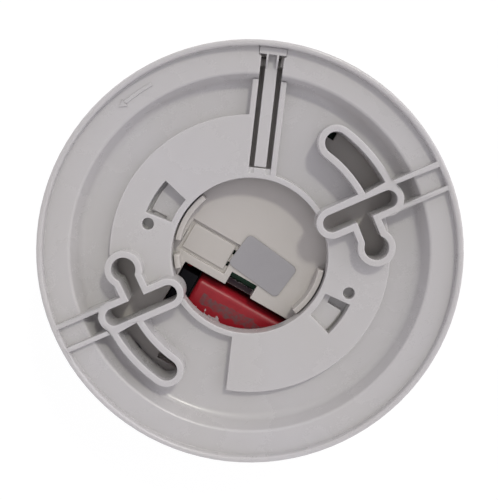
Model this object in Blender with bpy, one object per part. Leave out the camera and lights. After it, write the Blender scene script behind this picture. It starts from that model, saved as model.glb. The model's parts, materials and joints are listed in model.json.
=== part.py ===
"""Round battery smoke alarm held by a twist-lock ceiling bracket.

Metres, +Z up. The origin is on the alarm's axis in the ceiling plane, so the whole part hangs below z = 0.
The two ceiling screws lie on the X axis.
"""
import math

import bmesh
import bpy
from mathutils import Matrix, Vector

# Clearances
SEAT_GAP = 0.0003
STICKER_GAP = 0.0001
RUNNING_GAP = 0.0006
CUT_MARGIN = 0.0010
BURY = 0.0006

# Ceiling bracket
BRACKET_RADIUS = 0.0532
RIM_LIP_WIDTH = 0.0015
RIM_LIP_HEIGHT = 0.0020
RIM_CROWN = 0.0006
FLAT_WIDTH = 0.0064
SLOPE_RUN = 0.0018
DISH_DEPTH = 0.0070
BRACKET_WALL = 0.0020
HUB_RADIUS = 0.0199
HUB_WALL = 0.0015
PLATEAU_DEPTH = 0.0040
PLATEAU_RADIUS = 0.0356
PLATEAU_START_ANGLE = math.radians(66.0)
PLATEAU_END_ANGLE = math.radians(174.0)
LOWER_PLATEAU_SPAN = math.radians(117.5)

# Screw slots and their collars
SCREW_SPACING = 0.0600
SLOT_WIDTH = 0.0044
SLOT_INNER_REACH = 0.0100
SLOT_OUTER_REACH = 0.0094
KEY_NECK_WIDTH = 0.0041
KEY_OFFSET = 0.0100
KEYHOLE_DIAMETER = 0.0061
ARC_SLOT_RADIUS = 0.0355
ARC_SLOT_WIDTH = 0.0055
ARC_SLOT_END_ANGLE = math.radians(30.0)
COLLAR_WALL = 0.0017
RIB_WIDTH = 0.0012
RIB_SETBACK = 0.0001

# Release tongue
TONGUE_ANGLE = math.radians(60.0)
TONGUE_WIDTH = 0.0030
TONGUE_SLIT = 0.00125
TONGUE_THICKNESS = 0.0016
TONGUE_STRIP_WIDTH = 0.0084
TONGUE_ROOT = 0.0228
TAB_RISE = 0.0023
TAB_WIDTH = 0.0060
TAB_LENGTH = 0.0014
RISER_WALL = 0.0006
GUSSET_WALL = 0.0005
GUSSET_RUN = 0.0033
GUSSET_SLOPE = 0.0020
SLIT_END_LENGTH = 0.0014
SLIT_END_DEPTH = 0.0004

# Bayonet hooks and mould windows
BODY_ANGLE = math.radians(-53.5)
HOOK_ANGLE = math.radians(-4.0)
TWIST_ANGLE = math.radians(12.5)
TWIST_SPARE_ANGLE = math.radians(1.5)
HOOK_RADIUS = 0.0246
HOOK_SPREAD = 0.0073
HOOK_RADIAL = 0.0034
HOOK_POST = 0.0020
HOOK_REACH = 0.0050
HOOK_FOOT = 0.0015
WINDOW_INNER = 0.0216
WINDOW_OUTER = 0.0284
WINDOW_SPAN = math.radians(18.0)
WINDOW_LEAN = math.radians(1.2)
RIGHT_WINDOW_DEPTH = 0.0022
LEFT_WINDOW_DEPTH = 0.0034
WINDOW_GAP_DEPTH = 0.0045
WINDOW_EDGE_GAP = 0.0007
WINDOW_STEP = 0.0001
WINDOW_STEP_ANGLE = math.radians(0.4)
WINDOW_GAP_START = 0.0235
RIGHT_GAP_SPAN = math.radians(5.1)
LEFT_GAP_SPAN = math.radians(1.2)
SMALL_HOLE_DIAMETER = 0.0030
SMALL_HOLE_RADIUS = 0.0270
SMALL_HOLE_DEPTH = 0.0035
SMALL_HOLE_ANGLE = math.radians(14.8)

# Alarm case
CASE_WALL = 0.0020
CASE_EDGE_RADIUS = 0.0050
CHASSIS_WALL = 0.0018
CHASSIS_DROP = 0.0020
FLANGE_WALL = 0.0018
FLANGE_MARGIN = 0.0005
LEDGE_WIDTH = 0.0015
LEDGE_HEIGHT = 0.0016
GUIDE_ARC_GAP = 0.0004
GUIDE_ARC_WALL = 0.0014
GUIDE_ARC_HEIGHT = 0.0044
GUIDE_ARC_START = math.radians(-22.0)
GUIDE_ARC_END = math.radians(18.0)
SHORT_ARC_START = math.radians(209.5)
SHORT_ARC_END = math.radians(220.5)
SIDE_VENT_COUNT = 36
SIDE_VENT_WIDTH = 0.0026
SIDE_VENT_HEIGHT = 0.0130
SIDE_VENT_ABOVE_EDGE = 0.0020

# Battery bay, in the case's own axes
BATTERY_LENGTH = 0.0464
BATTERY_THICKNESS = 0.0175
BATTERY_WIDTH = 0.0265
BATTERY_EDGE_RADIUS = 0.0025
BATTERY_END_X = -0.0081
BATTERY_SIDE_Y = -0.0120
BAY_SIDE_GAP = 0.0015
BAY_FAR_GAP = 0.0005
TRAY_WALL = 0.0016
TRAY_FLOOR = 0.0012
TRAY_CASE_GAP = 0.0005
TRAY_CORNER_WALL = 0.0008
TRAY_BEND_ANGLE = math.radians(70.0)
FINGER_START_X = -0.0074
FINGER_LENGTH = 0.0210
FINGER_DEPTH = 0.0068
TERMINAL_HEIGHT = 0.0021
TERMINAL_SPACING = 0.0127
POSITIVE_RADIUS = 0.0029
NEGATIVE_RADIUS = 0.0042
SNAP_THICKNESS = 0.0048
SNAP_WIDTH = 0.0160
SNAP_LENGTH = 0.0250
LEAD_RADIUS = 0.0007
LEAD_SPACING = 0.0022

# Chassis details seen through the hub
POCKET_LENGTH = 0.0140
POCKET_WIDTH = 0.0088
POCKET_START_X = -0.0171
POCKET_TOP_Y = 0.0005
POCKET_DEPTH = 0.0010
POCKET_MARGIN = 0.0009
POCKET_SLOT_LENGTH = 0.0013
POCKET_SLOT_WIDTH = 0.0006
POCKET_SLOT_UPPER_Y = -0.0021
POCKET_SLOT_LOWER_Y = -0.0056
PAD_RISE = 0.0005
NOTCH_START_X = -0.0015
NOTCH_WIDTH = 0.0076
NOTCH_DEPTH = 0.0038
SPY_HOLE_X = 0.0008
SPY_HOLE_Y = 0.0380
SPY_HOLE_LENGTH = 0.0062
SPY_HOLE_WIDTH = 0.0040
LABEL_LENGTH = 0.0157
LABEL_WIDTH = 0.0096
LABEL_CORNER = 0.0013
LABEL_THICKNESS = 0.0003
LABEL_X = 0.0047
LABEL_Y = -0.0013
LABEL_TURN = math.radians(-6.3)

# Board and its fasteners
STANDOFF_HEIGHT = 0.0022
STANDOFF_RADIUS = 0.0026
STANDOFF_PLACES = ((0.0300, -0.0040), (-0.0380, -0.0030), (0.0140, 0.0390))
BOARD_RADIUS = 0.0460
BOARD_THICKNESS = 0.0016
BOARD_SCREW_RADIUS = 0.0010
BOARD_SCREW_HEAD_RADIUS = 0.0021
BOARD_SCREW_HEAD = 0.0014
PILOT_ROOF_SHARE = 1 / 3
HEAD_TOP_SHARE = 0.7
HEAD_SIDE_SHARE = 1 / 3
CASE_SCREW_CIRCLE = 0.0420
CASE_SCREW_ANGLES = (math.radians(-3.0), math.radians(125.0), math.radians(250.0))
CASE_SCREW_RADIUS = 0.0012
CASE_SCREW_LENGTH = 0.0120
CASE_SCREW_HEAD_RADIUS = 0.0028
CASE_SCREW_HEAD = 0.0018
SCREW_WELL_RADIUS = 0.0044
SCREW_WELL_DEPTH = 0.0030
BOSS_RADIUS = 0.0034

# Smoke chamber
CHAMBER_X = 0.0200
CHAMBER_Y = 0.0170
CHAMBER_RADIUS = 0.0175
CHAMBER_BASE = 0.0018
CHAMBER_HEIGHT = 0.0180
CHAMBER_CAP = 0.0016
VANE_COUNT = 18
VANE_WIDTH = 0.0012
VANE_DEPTH = 0.0040
SCREEN_WIRE = 0.0005
SCREEN_COLUMNS = 16
SCREEN_ROWS = 3
DIODE_RADIUS = 0.0025
DIODE_LENGTH = 0.0070
DIODE_OFFSET = 0.0072
DIODE_ANGLES = (math.radians(215.0), math.radians(335.0))

# Sounder
HORN_X = -0.0250
HORN_Y = 0.0140
HORN_RADIUS = 0.0135
HORN_WALL = 0.0012
HORN_HEIGHT = 0.0120
HORN_LEDGE_DEPTH = 0.0048
HORN_MOUTH_RADIUS = 0.0040
PIEZO_RADIUS = 0.0120
PIEZO_THICKNESS = 0.0004
CERAMIC_RADIUS = 0.0080
CERAMIC_THICKNESS = 0.0003
CONTACT_RADIUS = 0.0005
CONTACT_OFFSETS = (0.0, 0.0055, 0.0100)
HORN_SLOT_COUNT = 5
HORN_SLOT_WIDTH = 0.0018
HORN_SLOT_PITCH = 0.0040
HORN_SLOT_LENGTH = 0.0160

# Test button, lamp and small components
BUTTON_Y = 0.0060
BUTTON_RADIUS = 0.0105
BUTTON_FLANGE = 0.0014
BUTTON_FLANGE_HEIGHT = 0.0010
BUTTON_PROUD = 0.0008
BUTTON_TRAVEL = 0.0010
BUTTON_EDGE = 0.0005
PLUNGER_RADIUS = 0.0018
SWITCH_SIZE = 0.0060
SWITCH_HEIGHT = 0.0035
SWITCH_ROOF = 0.0010
STEM_RADIUS = 0.0016
STEM_LENGTH = 0.0052
LED_X = 0.0130
LED_Y = -0.0040
LED_RADIUS = 0.0015
LED_HEIGHT = 0.0043
PIPE_FLANGE = 0.0011
CAPACITOR_X = -0.0060
CAPACITOR_Y = 0.0270
CAPACITOR_RADIUS = 0.0040
CAPACITOR_HEIGHT = 0.0090
COIL_X = -0.0060
COIL_Y = 0.0175
COIL_RADIUS = 0.0035
COIL_HEIGHT = 0.0060
COIL_LIP_SHARE = 0.2
COIL_WAIST_SHARE = 0.8
CHIP_PLACE_SHARE = 0.565
CHIP_Y = -0.0045
CHIP_LENGTH = 0.0100
CHIP_WIDTH = 0.0040
CHIP_HEIGHT = 0.0018
HEADER_LENGTH = 0.0060
HEADER_WIDTH = 0.0040
HEADER_HEIGHT = 0.0052

# Facets on round shapes
FINE = 96
CASE_FACETS = 72
MEDIUM = 40
COARSE = 24
SMALL = 16
EDGE_STEPS = 5
CROWN_STEPS = 4

# Heights worked out from the stack, measured down from the ceiling plane
FLAT_UNDERSIDE = RIM_LIP_HEIGHT + BRACKET_WALL
BRACKET_UNDERSIDE = DISH_DEPTH + BRACKET_WALL
CHASSIS_TOP = BRACKET_UNDERSIDE + CHASSIS_DROP
CHASSIS_UNDERSIDE = CHASSIS_TOP + CHASSIS_WALL
GUIDE_ARC_TOP = CHASSIS_TOP - GUIDE_ARC_HEIGHT
FLANGE_TOP = FLAT_UNDERSIDE + SEAT_GAP
FLANGE_UNDERSIDE = FLANGE_TOP + FLANGE_WALL
LEDGE_TOP = FLANGE_UNDERSIDE + SEAT_GAP
HOOK_FOOT_TOP = CHASSIS_UNDERSIDE + SEAT_GAP
HOOK_FOOT_UNDERSIDE = HOOK_FOOT_TOP + HOOK_FOOT
STANDOFF_END = CHASSIS_UNDERSIDE + STANDOFF_HEIGHT
BOARD_BACK = STANDOFF_END + SEAT_GAP
BOARD_FRONT = BOARD_BACK + BOARD_THICKNESS
PART_SEAT = BOARD_FRONT + SEAT_GAP
BATTERY_TOP = CHASSIS_UNDERSIDE + SEAT_GAP + STICKER_GAP
BATTERY_BOTTOM = BATTERY_TOP + BATTERY_WIDTH
TRAY_FLOOR_TOP = BATTERY_BOTTOM + SEAT_GAP
TRAY_UNDERSIDE = TRAY_FLOOR_TOP + TRAY_FLOOR
FRONT_INSIDE = TRAY_UNDERSIDE + RUNNING_GAP
FRONT_FACE = FRONT_INSIDE + CASE_WALL
COVER_TOP = FLANGE_TOP + SEAT_GAP
SCREW_SEAT = CHASSIS_UNDERSIDE + SCREW_WELL_DEPTH - CHASSIS_WALL
SCREW_WELL_END = SCREW_SEAT + CHASSIS_WALL
BOSS_TOP = SCREW_WELL_END + SEAT_GAP
CHAMBER_FLOOR = PART_SEAT + CHAMBER_BASE
CHAMBER_END = PART_SEAT + CHAMBER_HEIGHT

# Radii and places worked out from the driving sizes
LIP_INNER = BRACKET_RADIUS - RIM_LIP_WIDTH
FLAT_INNER = LIP_INNER - FLAT_WIDTH
FLOOR_EDGE = FLAT_INNER - SLOPE_RUN
WALL_OUTER_TOP = FLAT_INNER + BRACKET_WALL
WALL_OUTER_FOOT = FLOOR_EDGE + BRACKET_WALL
HUB_OUTER = HUB_RADIUS + HUB_WALL
SCREW_RADIUS = SCREW_SPACING / 2
WELL_INNER = WALL_OUTER_TOP + RUNNING_GAP / 2
WELL_OUTER = WELL_INNER + FLANGE_WALL
COVER_INNER = BRACKET_RADIUS - CASE_WALL
FLANGE_OUTER = COVER_INNER - FLANGE_MARGIN
LEDGE_INNER = COVER_INNER - LEDGE_WIDTH
BAY_CLIP = FLOOR_EDGE + RUNNING_GAP
GUIDE_ARC_OUTER = HUB_RADIUS - GUIDE_ARC_GAP
GUIDE_ARC_INNER = GUIDE_ARC_OUTER - GUIDE_ARC_WALL
BAY_NEAR_Y = BATTERY_SIDE_Y + BAY_SIDE_GAP
BAY_FAR_Y = BATTERY_SIDE_Y - BATTERY_THICKNESS - BAY_FAR_GAP
BAY_LEFT_X = BATTERY_END_X - SEAT_GAP - SNAP_THICKNESS - SEAT_GAP
BAY_RIGHT_X = BATTERY_END_X + BATTERY_LENGTH + BAY_FAR_GAP
BATTERY_MID_Y = BATTERY_SIDE_Y - BATTERY_THICKNESS / 2
BATTERY_MID_Z = -(BATTERY_TOP + BATTERY_WIDTH / 2)
BOARD_EDGE_Y = BAY_NEAR_Y + TRAY_WALL + SEAT_GAP
CHIP_X = -BOARD_RADIUS * CHIP_PLACE_SHARE
TONGUE_END = LIP_INNER - SEAT_GAP
HOOK_START = HOOK_SPREAD / 2 + STICKER_GAP
HOOK_END = HOOK_START + HOOK_POST
HOOK_TIP = HOOK_START - HOOK_REACH
LEDGE_ANGLE = math.asin((HOOK_START - SEAT_GAP) / HOOK_RADIUS)
HOOK_SLOT_END_ANGLE = math.asin(HOOK_END / HOOK_RADIUS) + TWIST_ANGLE + TWIST_SPARE_ANGLE
HOOK_SLOT_INNER = HOOK_RADIUS - HOOK_RADIAL / 2 - RUNNING_GAP
HOOK_SLOT_OUTER = math.hypot(HOOK_RADIUS + HOOK_RADIAL / 2, HOOK_END) + RUNNING_GAP

# Swaps axes so that a shape drawn in X and Y and raised along Z comes to lie along X, with its X as Y
ALONG_X = Matrix(((0, 0, 1, 0), (1, 0, 0, 0), (0, 1, 0, 0), (0, 0, 0, 1)))


def clear_scene():
    """Remove every object that the file starts with."""
    for thing in list(bpy.data.objects):
        bpy.data.objects.remove(thing, do_unlink=True)


def plastic(name, colour, roughness=0.5, metallic=0.0):
    """A Principled material with one colour and finish."""
    material = bpy.data.materials.new(name)
    material.use_nodes = True
    shader = material.node_tree.nodes["Principled BSDF"]
    shader.inputs["Base Color"].default_value = (*colour, 1.0)
    shader.inputs["Roughness"].default_value = roughness
    shader.inputs["Metallic"].default_value = metallic
    return material


def arc(radius, start, end, steps, centre=(0.0, 0.0)):
    """Points along an arc, both ends included."""
    angles = [start + (end - start) * i / steps for i in range(steps + 1)]
    return [(centre[0] + radius * math.cos(a), centre[1] + radius * math.sin(a)) for a in angles]


def circle(radius, steps, centre=(0.0, 0.0)):
    """Points round a full circle."""
    return arc(radius, 0.0, math.tau, steps, centre)[:-1]


def sector(inner, outer, start, end, steps):
    """Outline of a ring sector."""
    return arc(outer, start, end, steps) + arc(inner, end, start, steps)


def rectangle(low_x, high_x, low_y, high_y):
    """Outline of an upright rectangle."""
    return [(low_x, low_y), (high_x, low_y), (high_x, high_y), (low_x, high_y)]


def rounded_rectangle(length, width, corner, steps):
    """Outline of a rectangle about the origin with round corners."""
    x, y = length / 2 - corner, width / 2 - corner
    quarter = math.pi / 2
    points = []
    for turn, centre in enumerate(((x, y), (-x, y), (-x, -y), (x, -y))):
        points += arc(corner, turn * quarter, (turn + 1) * quarter, steps, centre)
    return points


def capsule(start_x, end_x, radius, steps):
    """Outline of a slot along X, given the centres of its round ends."""
    half = math.pi / 2
    right = arc(radius, -half, half, steps, (end_x, 0.0))
    left = arc(radius, half, 3 * half, steps, (start_x, 0.0))
    return right + left


def arc_capsule(radius, half_width, start, end, steps):
    """Outline of a curved slot whose far end is round and whose near end is square."""
    tip = (radius * math.cos(end), radius * math.sin(end))
    outer = arc(radius + half_width, start, end, steps)
    cap = arc(half_width, end, end + math.pi, steps, tip)
    inner = arc(radius - half_width, end, start, steps)
    return outer + cap[1:-1] + inner


def raised(outline, low, high):
    """A prism over an outline, between two heights."""
    shape = bmesh.new()
    face = shape.faces.new([shape.verts.new((x, y, low)) for x, y in outline])
    lifted = bmesh.ops.extrude_face_region(shape, geom=[face])["geom"]
    movers = [item for item in lifted if isinstance(item, bmesh.types.BMVert)]
    bmesh.ops.translate(shape, verts=movers, vec=(0.0, 0.0, high - low))
    bmesh.ops.recalc_face_normals(shape, faces=shape.faces)
    return shape


def block(low_x, high_x, low_y, high_y, low_z, high_z):
    """A rectangular block."""
    return raised(rectangle(low_x, high_x, low_y, high_y), low_z, high_z)


def drum(radius, low, high, steps, centre=(0.0, 0.0)):
    """An upright cylinder."""
    return raised(circle(radius, steps, centre), low, high)


def turned(profile, steps):
    """A profile of (radius, height) points turned about Z. It may start and end on the axis."""
    shape = bmesh.new()
    rim = [shape.verts.new((radius, 0.0, height)) for radius, height in profile]
    edges = [shape.edges.new(pair) for pair in zip(rim, rim[1:])]
    if profile[0][0] > 0:
        edges.append(shape.edges.new((rim[-1], rim[0])))
    bmesh.ops.spin(
        shape, geom=rim + edges, axis=(0, 0, 1), cent=(0, 0, 0), steps=steps, angle=math.tau, use_merge=True
    )
    bmesh.ops.remove_doubles(shape, verts=shape.verts, dist=1e-7)
    bmesh.ops.recalc_face_normals(shape, faces=shape.faces)
    return shape


def moved(shape, x=0.0, y=0.0, z=0.0, turn=0.0):
    """Turn a shape about Z, then shift it."""
    shape.transform(Matrix.Translation((x, y, z)) @ Matrix.Rotation(turn, 4, "Z"))
    return shape


def along_x(shape):
    """Lay an upright shape along X."""
    shape.transform(ALONG_X)
    return shape


def gathered(shapes):
    """Several separate shapes as one."""
    whole = bmesh.new()
    for shape in shapes:
        mesh = bpy.data.meshes.new("gathered")
        shape.to_mesh(mesh)
        whole.from_mesh(mesh)
        bpy.data.meshes.remove(mesh)
        shape.free()
    return whole


def empty(name, parent=None, place=(0.0, 0.0, 0.0), turn=0.0):
    """A joint axis or group that pieces hang on."""
    axis = bpy.data.objects.new(name, None)
    axis.location = place
    axis.rotation_euler = (0.0, 0.0, turn)
    axis.parent = parent
    bpy.context.scene.collection.objects.link(axis)
    return axis


def piece(name, shape, material, parent):
    """A named object made from a shape."""
    mesh = bpy.data.meshes.new(name)
    shape.to_mesh(mesh)
    shape.free()
    mesh.shade_smooth()
    mesh.set_sharp_from_angle(angle=math.radians(35.0))
    mesh.materials.append(material)
    thing = bpy.data.objects.new(name, mesh)
    thing.parent = parent
    bpy.context.scene.collection.objects.link(thing)
    return thing


def helper(target, shape, label):
    """A hidden tool shape in the same frame as its target."""
    mesh = bpy.data.meshes.new(label)
    shape.to_mesh(mesh)
    shape.free()
    tool = bpy.data.objects.new(f"{target.name}_{label}", mesh)
    tool.parent = target.parent
    tool.hide_render = True
    tool.display_type = "WIRE"
    bpy.context.scene.collection.objects.link(tool)
    return tool


def combine(target, shape, label, operation):
    """Put a live Boolean on an object and return its tool."""
    tool = helper(target, shape, label)
    modifier = target.modifiers.new(label, "BOOLEAN")
    modifier.operation = operation
    modifier.solver = "EXACT"
    modifier.object = tool
    return tool


def add(target, shape, label):
    """Join a shape to an object."""
    return combine(target, shape, label, "UNION")


def cut(target, shape, label):
    """Cut a shape out of an object."""
    return combine(target, shape, label, "DIFFERENCE")


def clip(target, shape, label):
    """Keep only what lies inside a shape."""
    return combine(target, shape, label, "INTERSECT")


def lower_plateau_outline():
    """The second plateau runs clockwise from the right collar to a straight edge beside the tongue's line."""
    start = PLATEAU_END_ANGLE - math.pi
    end = start - LOWER_PLATEAU_SPAN
    inner = HUB_RADIUS + HUB_WALL / 2
    edge = math.pi + TONGUE_ANGLE
    reach = PLATEAU_RADIUS * math.sin(edge - (end + math.tau))
    inner_end = edge - math.asin(reach / inner) - math.tau
    return arc(PLATEAU_RADIUS, end, start, COARSE) + arc(inner, start, inner_end, COARSE)


def rib(offset):
    """A radial rib from a collar's outer end to the rim lip, a little below the ceiling plane."""
    start = SCREW_RADIUS + SLOT_OUTER_REACH - SLOT_WIDTH / 2
    end = LIP_INNER + RIM_LIP_WIDTH / 2
    foot = BRACKET_UNDERSIDE - BRACKET_WALL / 2
    shelf = FLAT_UNDERSIDE - BRACKET_WALL / 2
    outline = [
        (start, -RIB_SETBACK),
        (start, -foot),
        (FLOOR_EDGE, -foot),
        (FLAT_INNER + BURY, -shelf),
        (end, -shelf),
        (end, -RIB_SETBACK),
    ]
    shape = raised(outline, offset - RIB_WIDTH / 2, offset + RIB_WIDTH / 2)
    shape.transform(Matrix.Rotation(math.pi / 2, 4, "X"))
    return shape


def hook(side):
    """An L-shaped bayonet hook under a window: a post, and a foot that points clockwise seen from above."""
    low = HOOK_RADIUS - HOOK_RADIAL / 2
    high = HOOK_RADIUS + HOOK_RADIAL / 2
    outline = [
        (HOOK_START, -(BRACKET_UNDERSIDE - BRACKET_WALL / 2)),
        (HOOK_END, -(BRACKET_UNDERSIDE - BRACKET_WALL / 2)),
        (HOOK_END, -HOOK_FOOT_UNDERSIDE),
        (HOOK_TIP, -HOOK_FOOT_UNDERSIDE),
        (HOOK_TIP, -HOOK_FOOT_TOP),
        (HOOK_START, -HOOK_FOOT_TOP),
    ]
    return moved(along_x(raised(outline, low, high)), turn=BODY_ANGLE + HOOK_ANGLE + side)


def make_bracket(parent, material):
    """The dished bracket that is screwed to the ceiling."""
    quarter = math.pi / 2
    outer_bend = arc(RIM_CROWN, quarter, 0.0, CROWN_STEPS, (BRACKET_RADIUS - RIM_CROWN, -RIM_CROWN))
    inner_bend = arc(RIM_CROWN, math.pi, quarter, CROWN_STEPS, (LIP_INNER + RIM_CROWN, -RIM_CROWN))
    profile = outer_bend + [
        (BRACKET_RADIUS, -FLAT_UNDERSIDE),
        (WALL_OUTER_TOP, -FLAT_UNDERSIDE),
        (WALL_OUTER_FOOT, -BRACKET_UNDERSIDE),
        (HUB_RADIUS, -BRACKET_UNDERSIDE),
        (HUB_RADIUS, -PLATEAU_DEPTH),
        (HUB_OUTER, -PLATEAU_DEPTH),
        (HUB_OUTER, -DISH_DEPTH),
        (FLOOR_EDGE, -DISH_DEPTH),
        (FLAT_INNER, -RIM_LIP_HEIGHT),
        (LIP_INNER, -RIM_LIP_HEIGHT),
    ] + inner_bend
    bracket = piece("mounting_bracket", turned(profile, FINE), material, parent)
    root = -(BRACKET_UNDERSIDE - BRACKET_WALL / 2)
    plateau_inner = HUB_RADIUS + HUB_WALL / 2

    upper = sector(plateau_inner, PLATEAU_RADIUS, PLATEAU_START_ANGLE, PLATEAU_END_ANGLE, COARSE)
    add(bracket, raised(upper, root, -PLATEAU_DEPTH), "upper_plateau")
    add(bracket, raised(lower_plateau_outline(), root, -PLATEAU_DEPTH), "lower_plateau")
    strip_half = TONGUE_STRIP_WIDTH / 2
    strip = block(-strip_half, strip_half, plateau_inner, FLOOR_EDGE + BURY, root, -PLATEAU_DEPTH)
    add(bracket, moved(strip, turn=TONGUE_ANGLE - math.pi / 2), "tongue_strip")

    slot_start = SCREW_RADIUS - SLOT_INNER_REACH + SLOT_WIDTH / 2
    slot_end = SCREW_RADIUS + SLOT_OUTER_REACH - SLOT_WIDTH / 2
    arc_start = math.asin((SLOT_WIDTH / 2 + COLLAR_WALL) / ARC_SLOT_RADIUS)
    key_half = KEY_NECK_WIDTH / 2
    key_place = (SCREW_RADIUS, -KEY_OFFSET)
    collar_bottom = root - BURY / 2
    for label, turn in (("right", 0.0), ("left", math.pi)):
        wall = COLLAR_WALL
        radial = capsule(slot_start, slot_end, SLOT_WIDTH / 2 + wall, SMALL)
        add(bracket, moved(raised(radial, collar_bottom, 0.0), turn=turn), f"{label}_slot_collar")
        neck = rectangle(SCREW_RADIUS - key_half - wall, SCREW_RADIUS + key_half + wall, -KEY_OFFSET, 0.0)
        add(bracket, moved(raised(neck, collar_bottom, 0.0), turn=turn), f"{label}_neck_collar")
        hole = circle(KEYHOLE_DIAMETER / 2 + wall, COARSE, key_place)
        add(bracket, moved(raised(hole, collar_bottom, 0.0), turn=turn), f"{label}_key_collar")
        curve = arc_capsule(ARC_SLOT_RADIUS, ARC_SLOT_WIDTH / 2 + wall, 0.0, ARC_SLOT_END_ANGLE, SMALL)
        add(bracket, moved(raised(curve, collar_bottom, 0.0), turn=turn), f"{label}_arc_collar")
        rib_offset = SLOT_WIDTH / 2 + wall - RIB_WIDTH / 2 - RIB_SETBACK
        ribs = gathered([rib(rib_offset), rib(-rib_offset)])
        add(bracket, moved(ribs, turn=turn), f"{label}_ribs")

    deep = -(BRACKET_UNDERSIDE + CUT_MARGIN)
    for label, turn in (("right", 0.0), ("left", math.pi)):
        radial = capsule(slot_start, slot_end, SLOT_WIDTH / 2, SMALL)
        cut(bracket, moved(raised(radial, deep, CUT_MARGIN), turn=turn), f"{label}_slot")
        neck = rectangle(SCREW_RADIUS - key_half, SCREW_RADIUS + key_half, -KEY_OFFSET, 0.0)
        cut(bracket, moved(raised(neck, deep, CUT_MARGIN), turn=turn), f"{label}_neck")
        hole = circle(KEYHOLE_DIAMETER / 2, COARSE, key_place)
        cut(bracket, moved(raised(hole, deep, CUT_MARGIN), turn=turn), f"{label}_keyhole")
        curve = arc_capsule(ARC_SLOT_RADIUS, ARC_SLOT_WIDTH / 2, arc_start, ARC_SLOT_END_ANGLE, SMALL)
        cut(bracket, moved(raised(curve, deep, CUT_MARGIN), turn=turn), f"{label}_arc_slot")

    gap_floor = -(PLATEAU_DEPTH + WINDOW_GAP_DEPTH)
    hole_floor = -(PLATEAU_DEPTH + SMALL_HOLE_DEPTH)
    windows = (
        ("right", 0.0, -WINDOW_LEAN, RIGHT_WINDOW_DEPTH, RIGHT_GAP_SPAN),
        ("left", math.pi, WINDOW_LEAN, LEFT_WINDOW_DEPTH, LEFT_GAP_SPAN),
    )
    for label, side, lean, depth, gap_span in windows:
        turn = BODY_ANGLE + HOOK_ANGLE + side + lean
        start = turn - WINDOW_SPAN / 2
        end = turn + WINDOW_SPAN / 2
        window = sector(WINDOW_INNER, WINDOW_OUTER, start, end, SMALL // 2)
        cut(bracket, raised(window, -(PLATEAU_DEPTH + depth), CUT_MARGIN), f"{label}_window")
        gap_inner = WINDOW_OUTER - WINDOW_EDGE_GAP
        gap_end = end + WINDOW_STEP_ANGLE
        edge_gap = sector(gap_inner, WINDOW_OUTER + WINDOW_STEP, start - WINDOW_STEP_ANGLE, gap_end, SMALL // 2)
        cut(bracket, raised(edge_gap, gap_floor, CUT_MARGIN), f"{label}_edge_gap")
        gap_outer = gap_inner + WINDOW_EDGE_GAP / 2
        gap_end = end + WINDOW_STEP_ANGLE / 2
        end_gap = sector(WINDOW_GAP_START, gap_outer, end - gap_span, gap_end, SMALL // 2)
        cut(bracket, raised(end_gap, gap_floor, CUT_MARGIN), f"{label}_end_gap")
        pin_hole = drum(SMALL_HOLE_DIAMETER / 2, hole_floor, CUT_MARGIN, SMALL, (SMALL_HOLE_RADIUS, 0.0))
        cut(bracket, moved(pin_hole, turn=turn + SMALL_HOLE_ANGLE), f"{label}_small_hole")
        add(bracket, hook(side), f"{label}_hook")

    slit_half = TONGUE_WIDTH / 2 + TONGUE_SLIT
    tab_half = TAB_WIDTH / 2 + SEAT_GAP
    tab_start = TONGUE_END - TAB_LENGTH - SEAT_GAP
    outline = [
        (-slit_half, TONGUE_ROOT - SEAT_GAP),
        (slit_half, TONGUE_ROOT - SEAT_GAP),
        (slit_half, tab_start),
        (tab_half, tab_start),
        (tab_half, LIP_INNER),
        (-tab_half, LIP_INNER),
        (-tab_half, tab_start),
        (-slit_half, tab_start),
    ]
    opening = moved(raised(outline, deep, CUT_MARGIN), turn=TONGUE_ANGLE - math.pi / 2)
    cut(bracket, opening, "tongue_opening")
    end_high = TONGUE_ROOT
    end_low = TONGUE_ROOT - SEAT_GAP - SLIT_END_LENGTH
    end_floor = -(PLATEAU_DEPTH + SLIT_END_DEPTH)
    slit_near = TONGUE_WIDTH / 2
    ends = gathered([
        block(-slit_half, -slit_near, end_low, end_high, end_floor, CUT_MARGIN),
        block(slit_near, slit_half, end_low, end_high, end_floor, CUT_MARGIN),
    ])
    cut(bracket, moved(ends, turn=TONGUE_ANGLE - math.pi / 2), "slit_ends")
    return bracket


def make_tongue(parent, material):
    """The springy tongue, drawn about its own hinge line."""
    hinge_y = TONGUE_ROOT - SEAT_GAP / 2
    hinge_z = -(PLATEAU_DEPTH + TONGUE_THICKNESS / 2)
    top = TONGUE_THICKNESS / 2
    start = TONGUE_ROOT - hinge_y
    tip = TONGUE_END - hinge_y
    riser = tip - TAB_LENGTH
    tab_low = TAB_RISE - top
    tab_high = TAB_RISE + top
    outline = [
        (start, top),
        (start, -top),
        (riser + RISER_WALL, -top),
        (riser + RISER_WALL, tab_low),
        (tip, tab_low),
        (tip, tab_high),
        (riser, tab_high),
        (riser, top),
    ]
    turn = TONGUE_ANGLE - math.pi / 2
    place = Matrix.Rotation(turn, 4, "Z") @ Vector((0.0, hinge_y, hinge_z))
    hinge = empty("tongue_hinge", parent, place, turn)
    half = TONGUE_WIDTH / 2
    tongue = piece("release_tongue", along_x(raised(outline, -half, half)), material, hinge)
    tab_half = TAB_WIDTH / 2
    add(tongue, block(-tab_half, tab_half, riser, tip, tab_low, tab_high), "tab")
    gusset = [
        (riser - GUSSET_RUN, top - BURY),
        (riser + RISER_WALL / 2, top - BURY),
        (riser + RISER_WALL / 2, tab_high),
        (riser - GUSSET_RUN + GUSSET_SLOPE, tab_high),
        (riser - GUSSET_RUN, top),
    ]
    inner = half - GUSSET_WALL
    gussets = gathered([raised(gusset, -half, -inner), raised(gusset, inner, half)])
    add(tongue, along_x(gussets), "gussets")
    return tongue


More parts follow.
